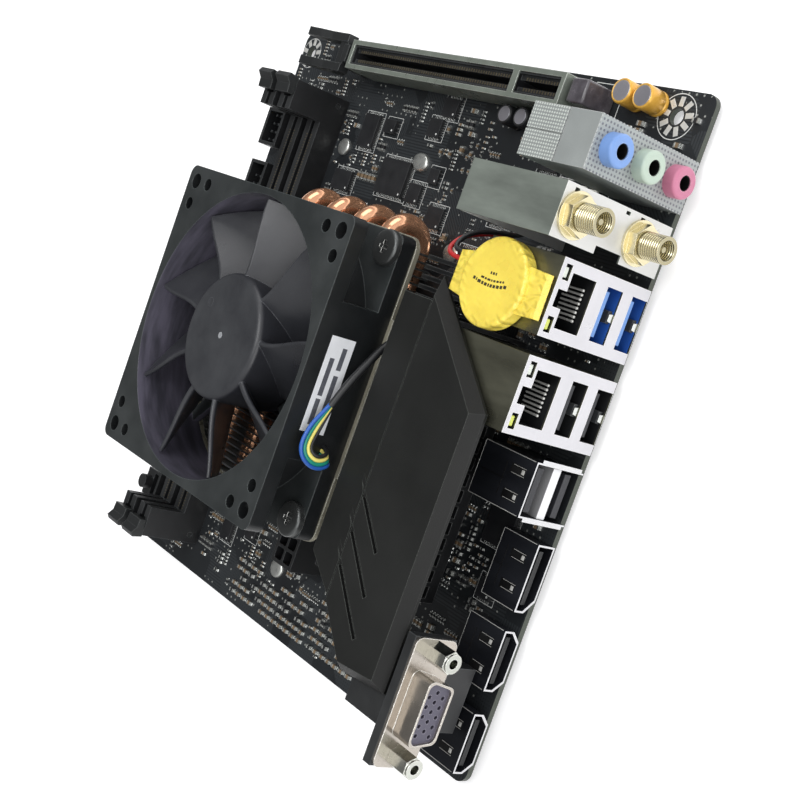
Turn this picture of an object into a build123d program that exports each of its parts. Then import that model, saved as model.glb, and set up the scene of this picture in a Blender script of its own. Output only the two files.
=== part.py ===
from build123d import *
from math import atan2, cos, pi, radians, sin, tan
import os

# Mini-ITX mainboard with a low fan cooler, in millimetres.
# Origin: centre of the rear mounting hole beside the expansion slot, on the
# underside of the board.  The connector edge faces -Y, the expansion slot is
# at +X, and the component side faces +Z.

# ---- Board -------------------------------------------------------------------
BOARD = 170.0
BOARD_THICKNESS = 1.6
BOARD_CORNER = 3.0
HOLE_TO_SLOT_EDGE = 6.35
HOLE_TO_REAR_EDGE = 10.16
HOLE_DIAMETER = 3.96
BOARD_X = HOLE_TO_SLOT_EDGE - BOARD / 2
BOARD_Y = BOARD / 2 - HOLE_TO_REAR_EDGE
TOP = BOARD_THICKNESS
MOUNT_HOLES = [(0.0, 0.0), (0.0, 154.94), (-157.48, 22.86), (-157.48, 154.94)]
FACE_Y = -11.4            # common front plane of the rear connectors

# ---- Fan and cooler ----------------------------------------------------------
FAN_SIZE = 80.0
FAN_DEPTH = 20.0
FAN_HOLE_PITCH = 71.5
FAN_X = -86.25
FAN_Y = 82.1
FAN_BOTTOM = 27.2
FAN_TOP = FAN_BOTTOM + FAN_DEPTH
FLANGE = 4.4              # thickness of the two corner flanges
FAN_BORE = 76.4
HUB_DIAMETER = 34.0
BLADES = 9
BLADE_TIP = 37.4
SHAFT_RADIUS = 1.5
BEARING_RADIUS = 1.54
PLATE_THICKNESS = 1.4     # steel plate between fan and fins
COOLER_SCREW_PITCH = 75.0
FIN_THICKNESS = 0.5
FIN_COUNT = 39
FIN_Y = (50.0, 116.0)
FIN_Z = (13.6, FAN_BOTTOM - PLATE_THICKNESS)
PIPE_RADIUS = 3.0
PIPE_PITCH = 13.0
PIPE_LOW = 9.4
PIPE_HIGH = 20.4
PIPE_OUT_X = -48.4        # where the bends of the pipes begin
PIPE_IN_X = -124.0
BASE_SIZE = 46.0
SOCKET_SIZE = 42.0
CPU_SIZE = 37.5

# ---- Expansion and memory slots ----------------------------------------------
PCIE_X = -0.8
PCIE_Y = (27.8, 117.2)
PCIE_WIDTH = 7.5
PCIE_TOP = TOP + 11.2
PCIE_KEY_Y = (44.4, 46.2)
ARMOR = 0.45
LATCH_PIVOT_Y = 121.0
LATCH_PIVOT_Z = 4.9
DIMM_X = (-155.5, -12.5)
DIMM_Y = [129.2, 138.7]
DIMM_WIDTH = 6.6
DIMM_BAR_TOP = TOP + 8.0
DIMM_TOWER_TOP = TOP + 19.8
DIMM_TOWER = 9.0
DIMM_PIVOT_IN = 2.6       # pivot of a latch, in from the end of its slot
DIMM_PIVOT_Z = 5.2
PIVOT_RADIUS = 0.8
PIVOT_HOLE = 0.85

# ---- Rear connectors ---------------------------------------------------------
AUDIO_X = -15.55
AUDIO_WIDTH = 12.3
AUDIO_TOP = 35.6
AUDIO_BACK = 9.8
JACK_Z = [29.6, 18.6, 7.6]
JACK_OUTSIDE = 3.75
JACK_BORE = 1.8
JACK_FRONT = FACE_Y - 3.4
WIFI_X = (-37.2, -25.0)
WIFI_TOP = 37.8
WIFI_FACE = -10.8
WIFI_BACK = 20.4
SHEET = 0.5
SMA_X = -31.2
SMA_Z = [32.4, 10.9]
SMA_RADIUS = 3.175
SMA_ROOT = 3.0            # radius of the socket under its nut
SMA_TIP = -19.6
LAN_X = [-48.9, -71.1]
LAN_WIDTH = 17.8
LAN_TOP = 31.4
LAN_BACK = 12.4
RJ45_WIDTH = 12.5
RJ45_Z = (19.7, 27.4)
NOTCH_WIDTH = 4.0
NOTCH_TOP = 30.1
USB_WIDTH = 12.6
USB_HEIGHT = 5.2
USB_Z = [13.0, 4.3]
DUAL_X = -91.0
DUAL_WIDTH = 13.2
DUAL_TOP = 17.2
DUAL_BACK = 6.4
DUAL_Z = [14.2, 5.0]
DP_X = -111.1
DP_WIDTH = 16.6
DP_Z = (1.8, 7.4)
DP_BACK = 0.6
HDMI_X = [-131.7, -152.5]
HDMI_WIDTH = 15.0
HDMI_Z = (2.2, 7.8)
HDMI_BACK = 1.2
VGA_X = -143.2
VGA_Z = 28.3
VGA_FLANGE = (30.8, 12.5)
VGA_FLANGE_Y = (-12.4, -11.6)
VGA_SHELL_FRONT = -18.3
VGA_SHELL = (16.2, 7.9)
VGA_SCREW_PITCH = 24.99
VGA_BODY_BACK = 6.0
VGA_BODY_TOP = 31.8
STANDOFF_FLATS = 4.75
STANDOFF_TIP = -19.0

# ---- Voltage regulator heat sink ---------------------------------------------
SINK_TOP = 36.0
SINK_LIP_BOTTOM = 32.4
SINK_LIP_TOP = 33.2
SINK_SLOPE = 2.2          # how far the lip stands out beyond the top face
SINK_OUTLINE = [(-57.4, 19.4), (-78.8, -4.6), (-141.9, -4.6), (-143.2, 8.2), (-132.4, 19.4)]
SINK_WING_Y = 33.0
SINK_WING_DROP = 2.6
GROOVE_WIDTH = 1.3
GROOVE_DEPTH = 1.0

# ---- Backup battery ----------------------------------------------------------
CELL_X = -50.2
CELL_Y = 3.6
CELL_DIAMETER = 20.0
CELL_THICKNESS = 3.2
WRAP = 0.4
WIRE_RADIUS = 0.6


def block(x_range, y_range, z_range, mode=Mode.ADD):
    """Box between two x, two y and two z values, joined to the part in progress."""
    sizes = [abs(b - a) for a, b in (x_range, y_range, z_range)]
    centre = tuple((a + b) / 2 for a, b in (x_range, y_range, z_range))
    with Locations(centre):
        Box(*sizes, mode=mode)


def around(centre, width):
    """The two ends of a width that is centred on a value."""
    return centre - width / 2, centre + width / 2


def rod_y(x, z, radius, y_range, mode=Mode.ADD):
    """Cylinder along Y."""
    with Locations(Location((x, sum(y_range) / 2, z), (90, 0, 0))):
        Cylinder(radius, abs(y_range[1] - y_range[0]), mode=mode)


def rod_z(x, y, radius, z_range, mode=Mode.ADD):
    """Cylinder along Z."""
    with Locations((x, y, sum(z_range) / 2)):
        Cylinder(radius, abs(z_range[1] - z_range[0]), mode=mode)


def rod_x(y, z, radius, x_range, mode=Mode.ADD):
    """Cylinder along X."""
    with Locations(Location((sum(x_range) / 2, y, z), (0, 90, 0))):
        Cylinder(radius, abs(x_range[1] - x_range[0]), mode=mode)


def rear_plane(y):
    """Plane across the rear connectors: local x is +X, local y is +Z, normal is -Y."""
    return Plane(origin=(0, y, 0), x_dir=(1, 0, 0), z_dir=(0, -1, 0))


def largest_radii(points):
    """For each corner of a route, the radius of the largest arc that its two runs allow."""
    radii = []
    for before, corner, after in zip(points, points[1:], points[2:]):
        run_in = Vector(*corner) - Vector(*before)
        run_out = Vector(*after) - Vector(*corner)
        half_turn = radians(run_in.get_angle(run_out)) / 2
        radii.append(0.45 * min(run_in.length, run_out.length) / tan(half_turn))
    return radii


pieces = {}

# ---- The bare board, bored for its mounts and for the cooler screws ------------
with BuildPart() as circuit_board:
    with BuildSketch(Plane.XY):
        with Locations((BOARD_X, BOARD_Y)):
            RectangleRounded(BOARD, BOARD, BOARD_CORNER)
        with Locations(*MOUNT_HOLES):
            Circle(HOLE_DIAMETER / 2, mode=Mode.SUBTRACT)
        with Locations((FAN_X, FAN_Y)):
            with GridLocations(COOLER_SCREW_PITCH, COOLER_SCREW_PITCH, 2, 2):
                Circle(2.0, mode=Mode.SUBTRACT)
    extrude(amount=BOARD_THICKNESS)
pieces["circuit_board"] = circuit_board

# ---- Processor, its socket and the plate under the board -----------------------
BACKPLATE = 2.0
BACKPLATE_SIZE = 84.0
BACKPLATE_WINDOW = 46.0
with BuildPart() as cpu_backplate:
    with BuildSketch(Plane.XY.offset(-BACKPLATE)):
        with Locations((FAN_X, FAN_Y)):
            RectangleRounded(BACKPLATE_SIZE, BACKPLATE_SIZE, 5)
            Rectangle(BACKPLATE_WINDOW, BACKPLATE_WINDOW, mode=Mode.SUBTRACT)
            with GridLocations(COOLER_SCREW_PITCH, COOLER_SCREW_PITCH, 2, 2):
                Circle(1.6, mode=Mode.SUBTRACT)
    extrude(amount=BACKPLATE)
pieces["cpu_backplate"] = cpu_backplate

SOCKET_TOP = TOP + 3.4
CPU_BOTTOM = TOP + 1.4
with BuildPart() as cpu_socket:
    block(around(FAN_X, SOCKET_SIZE), around(FAN_Y, SOCKET_SIZE), (TOP, SOCKET_TOP))
    block(around(FAN_X, CPU_SIZE), around(FAN_Y, CPU_SIZE), (CPU_BOTTOM, SOCKET_TOP), Mode.SUBTRACT)
pieces["cpu_socket"] = cpu_socket

BASE_BOTTOM = TOP + 4.4
BASE_TOP = PIPE_LOW + PIPE_RADIUS + 1.2
with BuildPart() as cpu_package:
    block(around(FAN_X, CPU_SIZE), around(FAN_Y, CPU_SIZE), (CPU_BOTTOM, CPU_BOTTOM + 1.1))
    block(around(FAN_X, CPU_SIZE - 6), around(FAN_Y, CPU_SIZE - 6), (CPU_BOTTOM + 1.1, BASE_BOTTOM))
pieces["cpu_package"] = cpu_package

# ---- Cooler: base, four heat pipes, fins, mounting frame and screws ------------
pipe_ys = [FAN_Y + PIPE_PITCH * (index - 1.5) for index in range(4)]

with BuildPart() as cooler_base:
    block(around(FAN_X, BASE_SIZE), around(FAN_Y, BASE_SIZE + 4), (BASE_BOTTOM, BASE_TOP))
    for pipe_y in pipe_ys:
        rod_x(pipe_y, PIPE_LOW, PIPE_RADIUS, (FAN_X - BASE_SIZE, FAN_X + BASE_SIZE), Mode.SUBTRACT)
pieces["cooler_base"] = cooler_base

BEND = (PIPE_HIGH - PIPE_LOW) / 2
with BuildPart() as cooler_heat_pipes:
    for pipe_y in pipe_ys:
        with BuildLine(Plane(origin=(0, pipe_y, 0), x_dir=(1, 0, 0), z_dir=(0, -1, 0))) as path:
            Line((FAN_X - BASE_SIZE / 2, PIPE_LOW), (PIPE_OUT_X, PIPE_LOW))
            ThreePointArc((PIPE_OUT_X, PIPE_LOW), (PIPE_OUT_X + BEND, (PIPE_LOW + PIPE_HIGH) / 2),
                          (PIPE_OUT_X, PIPE_HIGH))
            Line((PIPE_OUT_X, PIPE_HIGH), (PIPE_IN_X, PIPE_HIGH))
        with BuildSketch(Plane(origin=path.line @ 0, z_dir=path.line % 0)):
            Circle(PIPE_RADIUS)
        sweep(path=path.line)
pieces["cooler_heat_pipes"] = cooler_heat_pipes

fin_first = FAN_X - FAN_SIZE / 2 + 2.6
fin_pitch = (FAN_SIZE - 5.2 - FIN_THICKNESS) / (FIN_COUNT - 1)
with BuildPart() as cooler_fins:
    for index in range(FIN_COUNT):
        fin_x = fin_first + index * fin_pitch
        with BuildSketch(Plane.YZ.offset(fin_x)):
            with Locations((sum(FIN_Y) / 2, sum(FIN_Z) / 2)):
                Rectangle(FIN_Y[1] - FIN_Y[0], FIN_Z[1] - FIN_Z[0])
            with Locations(*[(pipe_y, PIPE_HIGH) for pipe_y in pipe_ys]):
                Circle(PIPE_RADIUS, mode=Mode.SUBTRACT)
        extrude(amount=FIN_THICKNESS)
pieces["cooler_fins"] = cooler_fins

ARM_Z = (BASE_BOTTOM - 1.5, BASE_BOTTOM)
with BuildPart() as cooler_mount_frame:
    with BuildSketch(Plane.XY.offset(ARM_Z[0])):
        with Locations((FAN_X, FAN_Y)):
            RectangleRounded(BASE_SIZE + 20, BASE_SIZE + 20, 6)
            for angle in (45, 135):
                with Locations(Location((0, 0), angle)):
                    SlotCenterToCenter(COOLER_SCREW_PITCH * 2 ** 0.5, 9)
            Rectangle(SOCKET_SIZE + 1, SOCKET_SIZE + 1, mode=Mode.SUBTRACT)
            with GridLocations(COOLER_SCREW_PITCH, COOLER_SCREW_PITCH, 2, 2):
                Circle(1.7, mode=Mode.SUBTRACT)
    extrude(amount=ARM_Z[1] - ARM_Z[0])
pieces["cooler_mount_frame"] = cooler_mount_frame

with BuildPart() as cooler_mount_screws:
    for screw_x in around(FAN_X, COOLER_SCREW_PITCH):
        for screw_y in around(FAN_Y, COOLER_SCREW_PITCH):
            rod_z(screw_x, screw_y, 1.6, (-BACKPLATE, ARM_Z[1]))
            rod_z(screw_x, screw_y, 3.4, (ARM_Z[1], ARM_Z[1] + 2.4))
            rod_z(screw_x, screw_y, 2.6, (TOP, ARM_Z[0]))
pieces["cooler_mount_screws"] = cooler_mount_screws

# Steel plate that carries the fan, with a bent lip on the connector side.
PLATE_Z = (FAN_BOTTOM - PLATE_THICKNESS, FAN_BOTTOM)
LIP_X = (-108.6, -66.8)
LIP_DROP = 3.4
with BuildPart() as fan_plate:
    with BuildSketch(Plane.XY.offset(PLATE_Z[0])):
        with Locations((FAN_X, FAN_Y)):
            RectangleRounded(FAN_SIZE + 0.8, FAN_SIZE + 0.8, 4)
            Circle(FAN_BORE / 2, mode=Mode.SUBTRACT)
            with GridLocations(FAN_HOLE_PITCH, FAN_HOLE_PITCH, 2, 2):
                Circle(1.5, mode=Mode.SUBTRACT)
    extrude(amount=PLATE_THICKNESS)
    lip_front = FAN_Y - FAN_SIZE / 2 - 0.4
    block(LIP_X, (lip_front - 0.9, lip_front + 0.4), (PLATE_Z[0] - LIP_DROP, PLATE_Z[1]))
pieces["fan_plate"] = fan_plate

# ---- Fan: frame, rotor, shaft, bearing, windings and screws --------------------
MOTOR_RADIUS = 15.0
MOTOR_FLOOR = (FAN_BOTTOM, FAN_BOTTOM + 2.0)
STRUT_WIDTH = 3.6
TUBE_OUTER = 3.6
with BuildPart() as fan_frame:
    with BuildSketch(Plane.XY.offset(FAN_BOTTOM)):
        with Locations((FAN_X, FAN_Y)):
            Circle(FAN_SIZE / 2)
            Circle(FAN_BORE / 2, mode=Mode.SUBTRACT)
    extrude(amount=FAN_DEPTH)
    for flange_bottom in (FAN_BOTTOM, FAN_TOP - FLANGE):
        with BuildSketch(Plane.XY.offset(flange_bottom)):
            with Locations((FAN_X, FAN_Y)):
                RectangleRounded(FAN_SIZE, FAN_SIZE, 2.5)
                Circle(FAN_BORE / 2, mode=Mode.SUBTRACT)
                with GridLocations(FAN_HOLE_PITCH, FAN_HOLE_PITCH, 2, 2):
                    Circle(2.15, mode=Mode.SUBTRACT)
                if flange_bottom > FAN_BOTTOM:
                    for sign_x in (-1, 1):
                        for sign_y in (-1, 1):
                            near = FAN_HOLE_PITCH / 2
                            with Locations((sign_x * (near - 6.4), sign_y * near),
                                           (sign_x * near, sign_y * (near - 6.4))):
                                Circle(1.7, mode=Mode.SUBTRACT)
        extrude(amount=FLANGE)
    # Flat pads where the round duct meets the middle of each side.
    for angle in range(0, 360, 90):
        with BuildSketch(Plane.XY.offset(FAN_BOTTOM)):
            with Locations(Location((FAN_X, FAN_Y), angle)):
                with Locations((FAN_SIZE / 2 - 2.4, 0)):
                    Rectangle(4.8, 40)
            with Locations((FAN_X, FAN_Y)):
                Circle(FAN_BORE / 2, mode=Mode.SUBTRACT)
        extrude(amount=FAN_DEPTH)
    with BuildSketch(Plane.XY.offset(MOTOR_FLOOR[0])):
        with Locations((FAN_X, FAN_Y)):
            Circle(MOTOR_RADIUS + 1.5)
            for angle in (45, 135):
                with Locations(Location((0, 0), angle)):
                    Rectangle(FAN_BORE + 0.6, STRUT_WIDTH)
    extrude(amount=MOTOR_FLOOR[1] - MOTOR_FLOOR[0])
    rod_z(FAN_X, FAN_Y, TUBE_OUTER, (MOTOR_FLOOR[1], FAN_TOP - 6.6))
    rod_z(FAN_X, FAN_Y, 2.6, (MOTOR_FLOOR[0] + 1.2, FAN_TOP - 6.6), Mode.SUBTRACT)
pieces["fan_frame"] = fan_frame

with BuildPart() as fan_bearing:
    rod_z(FAN_X, FAN_Y, 2.6, (MOTOR_FLOOR[0] + 1.2, FAN_TOP - 7.2))
    rod_z(FAN_X, FAN_Y, BEARING_RADIUS, (MOTOR_FLOOR[0] + 1.2, FAN_TOP - 7.2), Mode.SUBTRACT)
pieces["fan_bearing"] = fan_bearing

STATOR_Z = (MOTOR_FLOOR[1] + 0.8, MOTOR_FLOOR[1] + 8.8)
with BuildPart() as fan_windings:
    with BuildSketch(Plane.XY.offset(STATOR_Z[0])):
        with Locations((FAN_X, FAN_Y)):
            Circle(6.4)
            for angle in (0, 90):
                with Locations(Location((0, 0), angle)):
                    Rectangle(22, 5)
            with PolarLocations(11.2, 4):
                Rectangle(2.6, 12)
            Circle(TUBE_OUTER, mode=Mode.SUBTRACT)
    extrude(amount=STATOR_Z[1] - STATOR_Z[0])
pieces["fan_windings"] = fan_windings

HUB_Z = (MOTOR_FLOOR[1] + 0.8, FAN_TOP - 0.6)
HUB_WALL = 2.0
BLADE_Z = FAN_BOTTOM + 11.0
HUB_RADIUS = HUB_DIAMETER / 2


def blade_section(radius, chord, thickness, pitch, lead):
    """Rounded slat across a blade at one radius, whose raised end stands at the lead angle."""
    half_span = chord / 2 * cos(radians(pitch))
    angle = radians(lead) - atan2(half_span, radius)
    outward = (cos(angle), sin(angle), 0)
    around_hub = (-sin(angle), cos(angle), 0)
    origin = (FAN_X + radius * cos(angle), FAN_Y + radius * sin(angle), BLADE_Z)
    section_plane = Plane(origin=origin, x_dir=around_hub, z_dir=outward)
    with BuildSketch(section_plane) as section:
        with Locations(Location((0, 0), pitch)):
            RectangleRounded(chord, thickness, thickness * 0.45)
    return section.sketch


with BuildPart() as fan_blade:
    sections = [blade_section(HUB_RADIUS - 1.4, 19.4, 1.6, 49, 0.0),
                blade_section(24.0, 20.6, 1.5, 45, 0.4),
                blade_section(31.0, 22.0, 1.3, 41, 2.4),
                blade_section(BLADE_TIP + 1.4, 22.6, 1.1, 38, 2.0)]
    loft(sections)
    with Locations((FAN_X, FAN_Y, BLADE_Z)):
        Cylinder(BLADE_TIP, 2 * FAN_DEPTH, mode=Mode.INTERSECT)

with BuildPart() as fan_rotor:
    rod_z(FAN_X, FAN_Y, HUB_RADIUS, HUB_Z)
    fillet(fan_rotor.edges().sort_by(Axis.Z)[-1], 1.6)
    rod_z(FAN_X, FAN_Y, HUB_RADIUS - HUB_WALL, (HUB_Z[0], HUB_Z[1] - 2.4), Mode.SUBTRACT)
    rod_z(FAN_X, FAN_Y, 2.6, (FAN_TOP - 5.4, HUB_Z[1] - 2.4))
    rod_z(FAN_X, FAN_Y, SHAFT_RADIUS, (HUB_Z[0], HUB_Z[1] - 1.4), Mode.SUBTRACT)
    for index in range(BLADES):
        add(fan_blade.part.rotate(Axis((FAN_X, FAN_Y, 0), (0, 0, 1)), index * 360 / BLADES))
pieces["fan_rotor"] = fan_rotor

with BuildPart() as fan_shaft:
    rod_z(FAN_X, FAN_Y, SHAFT_RADIUS, (MOTOR_FLOOR[1], HUB_Z[1] - 1.4))
pieces["fan_shaft"] = fan_shaft

SCREW_HEAD = 4.6
with BuildPart() as fan_screws:
    for screw_x in around(FAN_X, FAN_HOLE_PITCH):
        for screw_y in around(FAN_Y, FAN_HOLE_PITCH):
            rod_z(screw_x, screw_y, 1.5, (PLATE_Z[0] - 1.0, FAN_BOTTOM + FLANGE))
            rod_z(screw_x, screw_y, SCREW_HEAD, (FAN_BOTTOM + FLANGE, FAN_BOTTOM + FLANGE + 2.0))
    fillet(fan_screws.edges().filter_by(GeomType.CIRCLE).group_by(Axis.Z)[-1], 0.8)
    for screw_x in around(FAN_X, FAN_HOLE_PITCH):
        for screw_y in around(FAN_Y, FAN_HOLE_PITCH):
            for half in (1.6, 0.45), (0.45, 1.6):
                block(around(screw_x, 2 * half[0]), around(screw_y, 2 * half[1]),
                      (FAN_BOTTOM + FLANGE + 0.9, FAN_BOTTOM + FLANGE + 2.1), Mode.SUBTRACT)
pieces["fan_screws"] = fan_screws

# ---- Expansion slot with its metal armour and forked latch ---------------------
CHEEK_Y = (PCIE_Y[1], LATCH_PIVOT_Y + 2.6)
with BuildPart() as pcie_slot_housing:
    block(around(PCIE_X, PCIE_WIDTH), PCIE_Y, (TOP, PCIE_TOP))
    for groove_y in (PCIE_Y[0] + 1.4, PCIE_KEY_Y[0]), (PCIE_KEY_Y[1], PCIE_Y[1] - 1.4):
        block(around(PCIE_X, 1.8), groove_y, (TOP + 3.2, PCIE_TOP), Mode.SUBTRACT)
        block(around(PCIE_X, 4.6), groove_y, (PCIE_TOP - 1.2, PCIE_TOP), Mode.SUBTRACT)
    for cheek_x in (-3.2, 3.2):
        block(around(PCIE_X + cheek_x, 1.1), CHEEK_Y, (TOP, LATCH_PIVOT_Z + 2.6))
    rod_x(LATCH_PIVOT_Y, LATCH_PIVOT_Z, PIVOT_HOLE, around(PCIE_X, PCIE_WIDTH + 1), Mode.SUBTRACT)
pieces["pcie_slot_housing"] = pcie_slot_housing

ARMOR_Z = (TOP + 0.6, PCIE_TOP + ARMOR)
ARMOR_LIP = 0.9
with BuildPart() as pcie_slot_armor:
    block(around(PCIE_X, PCIE_WIDTH + 2 * ARMOR), (PCIE_Y[0] - ARMOR, PCIE_Y[1] + ARMOR), ARMOR_Z)
    block(around(PCIE_X, PCIE_WIDTH), PCIE_Y, (ARMOR_Z[0], PCIE_TOP), Mode.SUBTRACT)
    for window_y in ((PCIE_Y[0] + ARMOR_LIP, PCIE_KEY_Y[0] - 0.2),
                     (PCIE_KEY_Y[1] + 0.2, PCIE_Y[1] - ARMOR_LIP)):
        block(around(PCIE_X, PCIE_WIDTH - 2 * ARMOR_LIP), window_y, (PCIE_TOP, ARMOR_Z[1]), Mode.SUBTRACT)
    block(around(PCIE_X, PCIE_WIDTH + 2), (PCIE_Y[1] - 0.1, PCIE_Y[1] + 1),
          (ARMOR_Z[0], LATCH_PIVOT_Z + 3.2), Mode.SUBTRACT)
pieces["pcie_slot_armor"] = pcie_slot_armor

LATCH_WIDTH = 5.0
PRONG_WIDTH = 2.4
PRONG_OUTLINE = [(124.4, 8.0), (127.4, 7.2), (132.6, 9.8), (138.8, 13.0), (139.6, 14.4),
                 (138.2, 15.7), (132.6, 14.9), (128.2, 13.8), (124.4, 13.6), (120.2, 13.4), (120.2, 10.6)]
with BuildPart() as pcie_latch:
    with BuildSketch(Plane.YZ.offset(PCIE_X - LATCH_WIDTH / 2)):
        with BuildLine():
            Polyline((119.4, 3.2), (120.4, 2.6), (123.2, 2.6), (124.0, 8.6), (123.6, 11.4),
                     (121.0, 13.4), (118.6, 13.4), (118.6, 11.6), (119.4, 10.8), close=True)
        make_face()
    extrude(amount=LATCH_WIDTH)
    for prong_x in (-5.6, 3.2):
        with BuildSketch(Plane.YZ.offset(PCIE_X + prong_x)):
            with BuildLine():
                Polyline(*PRONG_OUTLINE, close=True)
            make_face()
        extrude(amount=PRONG_WIDTH)
    block(around(PCIE_X, 11.2), (120.2, 123.8), (10.0, 13.0))
    rod_x(LATCH_PIVOT_Y, LATCH_PIVOT_Z, PIVOT_RADIUS, around(PCIE_X, 7.2))
pieces["pcie_latch"] = pcie_latch

# ---- Memory slots and their four latches ---------------------------------------


def memory_slot(centre_y):
    """Slot bar with a tower at each end, grooved for the module, cut for its latches."""
    low_x, high_x = DIMM_X
    bar_centre = sum(DIMM_X) / 2
    with BuildPart() as slot:
        block(DIMM_X, around(centre_y, DIMM_WIDTH), (TOP, DIMM_BAR_TOP))
        for tower_x in (low_x, low_x + DIMM_TOWER), (high_x - DIMM_TOWER, high_x):
            block(tower_x, around(centre_y, DIMM_WIDTH), (TOP, DIMM_TOWER_TOP))
        for groove in ((low_x + DIMM_TOWER, bar_centre + 4), (bar_centre + 6, high_x - DIMM_TOWER)):
            block(groove, around(centre_y, 1.7), (TOP + 2.8, DIMM_BAR_TOP), Mode.SUBTRACT)
        for side, end_x in (1, high_x), (-1, low_x):
            block((end_x + side, end_x - side * 5.4), around(centre_y, 3.9),
                  (TOP + 1.0, DIMM_TOWER_TOP + 1), Mode.SUBTRACT)
            block((end_x - side * 5.0, end_x - side * (DIMM_TOWER + 1)), around(centre_y, 1.7),
                  (DIMM_BAR_TOP, DIMM_TOWER_TOP + 1), Mode.SUBTRACT)
            rod_y(end_x - side * DIMM_PIVOT_IN, DIMM_PIVOT_Z, PIVOT_HOLE,
                  around(centre_y, DIMM_WIDTH + 1), Mode.SUBTRACT)
    return slot


def memory_latch(centre_y, end_x, side):
    """Lever in the end of a slot: pivot pins, upright, hook over the module and thumb pad."""
    def out(distance):
        return end_x + side * distance
    with BuildPart() as latch:
        with BuildSketch(Plane(origin=(0, centre_y + 1.7, 0), x_dir=(1, 0, 0), z_dir=(0, -1, 0))):
            with BuildLine():
                Polyline((out(-4.0), 4.4), (out(-3.2), 3.4), (out(-1.6), 3.4), (out(-0.4), 5.0),
                         (out(0.2), 14.0), (out(0.2), 22.4), (out(-4.4), 22.4), (out(-4.4), 18.6),
                         (out(-2.6), 17.8), (out(-2.6), 8.0), (out(-4.0), 7.0), close=True)
            make_face()
        extrude(amount=3.4)
        with BuildSketch(Plane(origin=(0, centre_y + 3.4, 0), x_dir=(1, 0, 0), z_dir=(0, -1, 0))):
            with BuildLine():
                Polyline((out(-4.8), 21.8), (out(0.4), 21.4), (out(0.8), 24.6), (out(-0.4), 25.4),
                         (out(-2.2), 24.0), (out(-4.8), 23.8), close=True)
            make_face()
        extrude(amount=6.8)
        rod_y(out(-DIMM_PIVOT_IN), DIMM_PIVOT_Z, PIVOT_RADIUS, around(centre_y, DIMM_WIDTH - 0.2))
    return latch


for letter, slot_y in zip("ab", DIMM_Y):
    pieces[f"dimm_slot_{letter}"] = memory_slot(slot_y)
    pieces[f"dimm_latch_{letter}_near"] = memory_latch(slot_y, DIMM_X[1], 1)
    pieces[f"dimm_latch_{letter}_far"] = memory_latch(slot_y, DIMM_X[0], -1)

# ---- Power, drive and pin connectors -------------------------------------------
POWER_PITCH = 4.2
POWER_TOP = TOP + 12.8
ATX_CENTRE = (-101.0, 152.0)
CPU_POWER_CENTRE = (-135.6, 67.0)
with BuildPart() as power_connectors:
    for (centre_x, centre_y), columns in (ATX_CENTRE, 12), (CPU_POWER_CENTRE, 2):
        block(around(centre_x, columns * POWER_PITCH + 1.2), around(centre_y, 2 * POWER_PITCH + 1.2),
              (TOP, POWER_TOP))
        with BuildSketch(Plane.XY.offset(TOP + 3.0)):
            with Locations((centre_x, centre_y)):
                with GridLocations(POWER_PITCH, POWER_PITCH, columns, 2):
                    RectangleRounded(3.4, 3.4, 0.6)
        extrude(amount=POWER_TOP - TOP, mode=Mode.SUBTRACT)
        block(around(centre_x, 5.0), (centre_y + POWER_PITCH + 0.6, centre_y + POWER_PITCH + 1.8),
              (POWER_TOP - 5.0, POWER_TOP - 2.4))
pieces["power_connectors"] = power_connectors

SATA_X = [-144.6, -134.0]
SATA_Y = (144.6, 152.4)
SATA_TOP = TOP + 8.4
with BuildPart() as sata_ports:
    for sata_x in SATA_X:
        block(around(sata_x, 8.6), SATA_Y, (TOP, SATA_TOP))
        block(around(sata_x, 6.8), (SATA_Y[0] + 1, SATA_Y[0] + 3.4), (TOP + 2, SATA_TOP), Mode.SUBTRACT)
        rod_z(sata_x, SATA_Y[1] - 2.6, 2.2, (SATA_TOP, SATA_TOP + 2.8))
pieces["sata_ports"] = sata_ports

HEADER_TOP = TOP + 9.0
PIN_PITCH = 2.54
USB_HEADER = (-53.4, 148.8, 32.0, 9.0, 10)
PANEL_HEADER = (-26.4, 148.6, 11.6, 9.4, 4)
FAN_HEADER = (-70.4, 44.4)
BATTERY_HEADER = (-22.6, 14.6)
with BuildPart() as pin_headers:
    for centre_x, centre_y, length, width, columns in (USB_HEADER, PANEL_HEADER):
        block(around(centre_x, length), around(centre_y, width), (TOP, HEADER_TOP))
        block(around(centre_x, length - 2), around(centre_y, width - 2), (TOP + 1.8, HEADER_TOP),
              Mode.SUBTRACT)
        with BuildSketch(Plane.XY.offset(TOP + 1.8)):
            with Locations((centre_x, centre_y)):
                with GridLocations(PIN_PITCH, PIN_PITCH, columns, 2):
                    Rectangle(0.64, 0.64)
        extrude(amount=6.0)
    block(around(FAN_HEADER[0], 10.2), around(FAN_HEADER[1], 3.4), (TOP, TOP + 3.0))
    block(around(BATTERY_HEADER[0], 3.6), around(BATTERY_HEADER[1], 4.2), (TOP, TOP + 2.6))
pieces["pin_headers"] = pin_headers

# ---- Audio jacks ----------------------------------------------------------------
BARREL_BACK = AUDIO_BACK - 6.0
with BuildPart() as audio_shield:
    block(around(AUDIO_X, AUDIO_WIDTH), (FACE_Y, AUDIO_BACK), (TOP, AUDIO_TOP))
    for jack_z in JACK_Z:
        rod_y(AUDIO_X, jack_z, JACK_OUTSIDE, (FACE_Y - 1, BARREL_BACK), Mode.SUBTRACT)
    block(around(AUDIO_X, AUDIO_WIDTH), around(-1.6, 0.4), (AUDIO_TOP - 0.4, AUDIO_TOP), Mode.SUBTRACT)
    block(around(AUDIO_X, 0.4), (-1.6, AUDIO_BACK), (AUDIO_TOP - 0.4, AUDIO_TOP), Mode.SUBTRACT)
pieces["audio_shield"] = audio_shield

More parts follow.
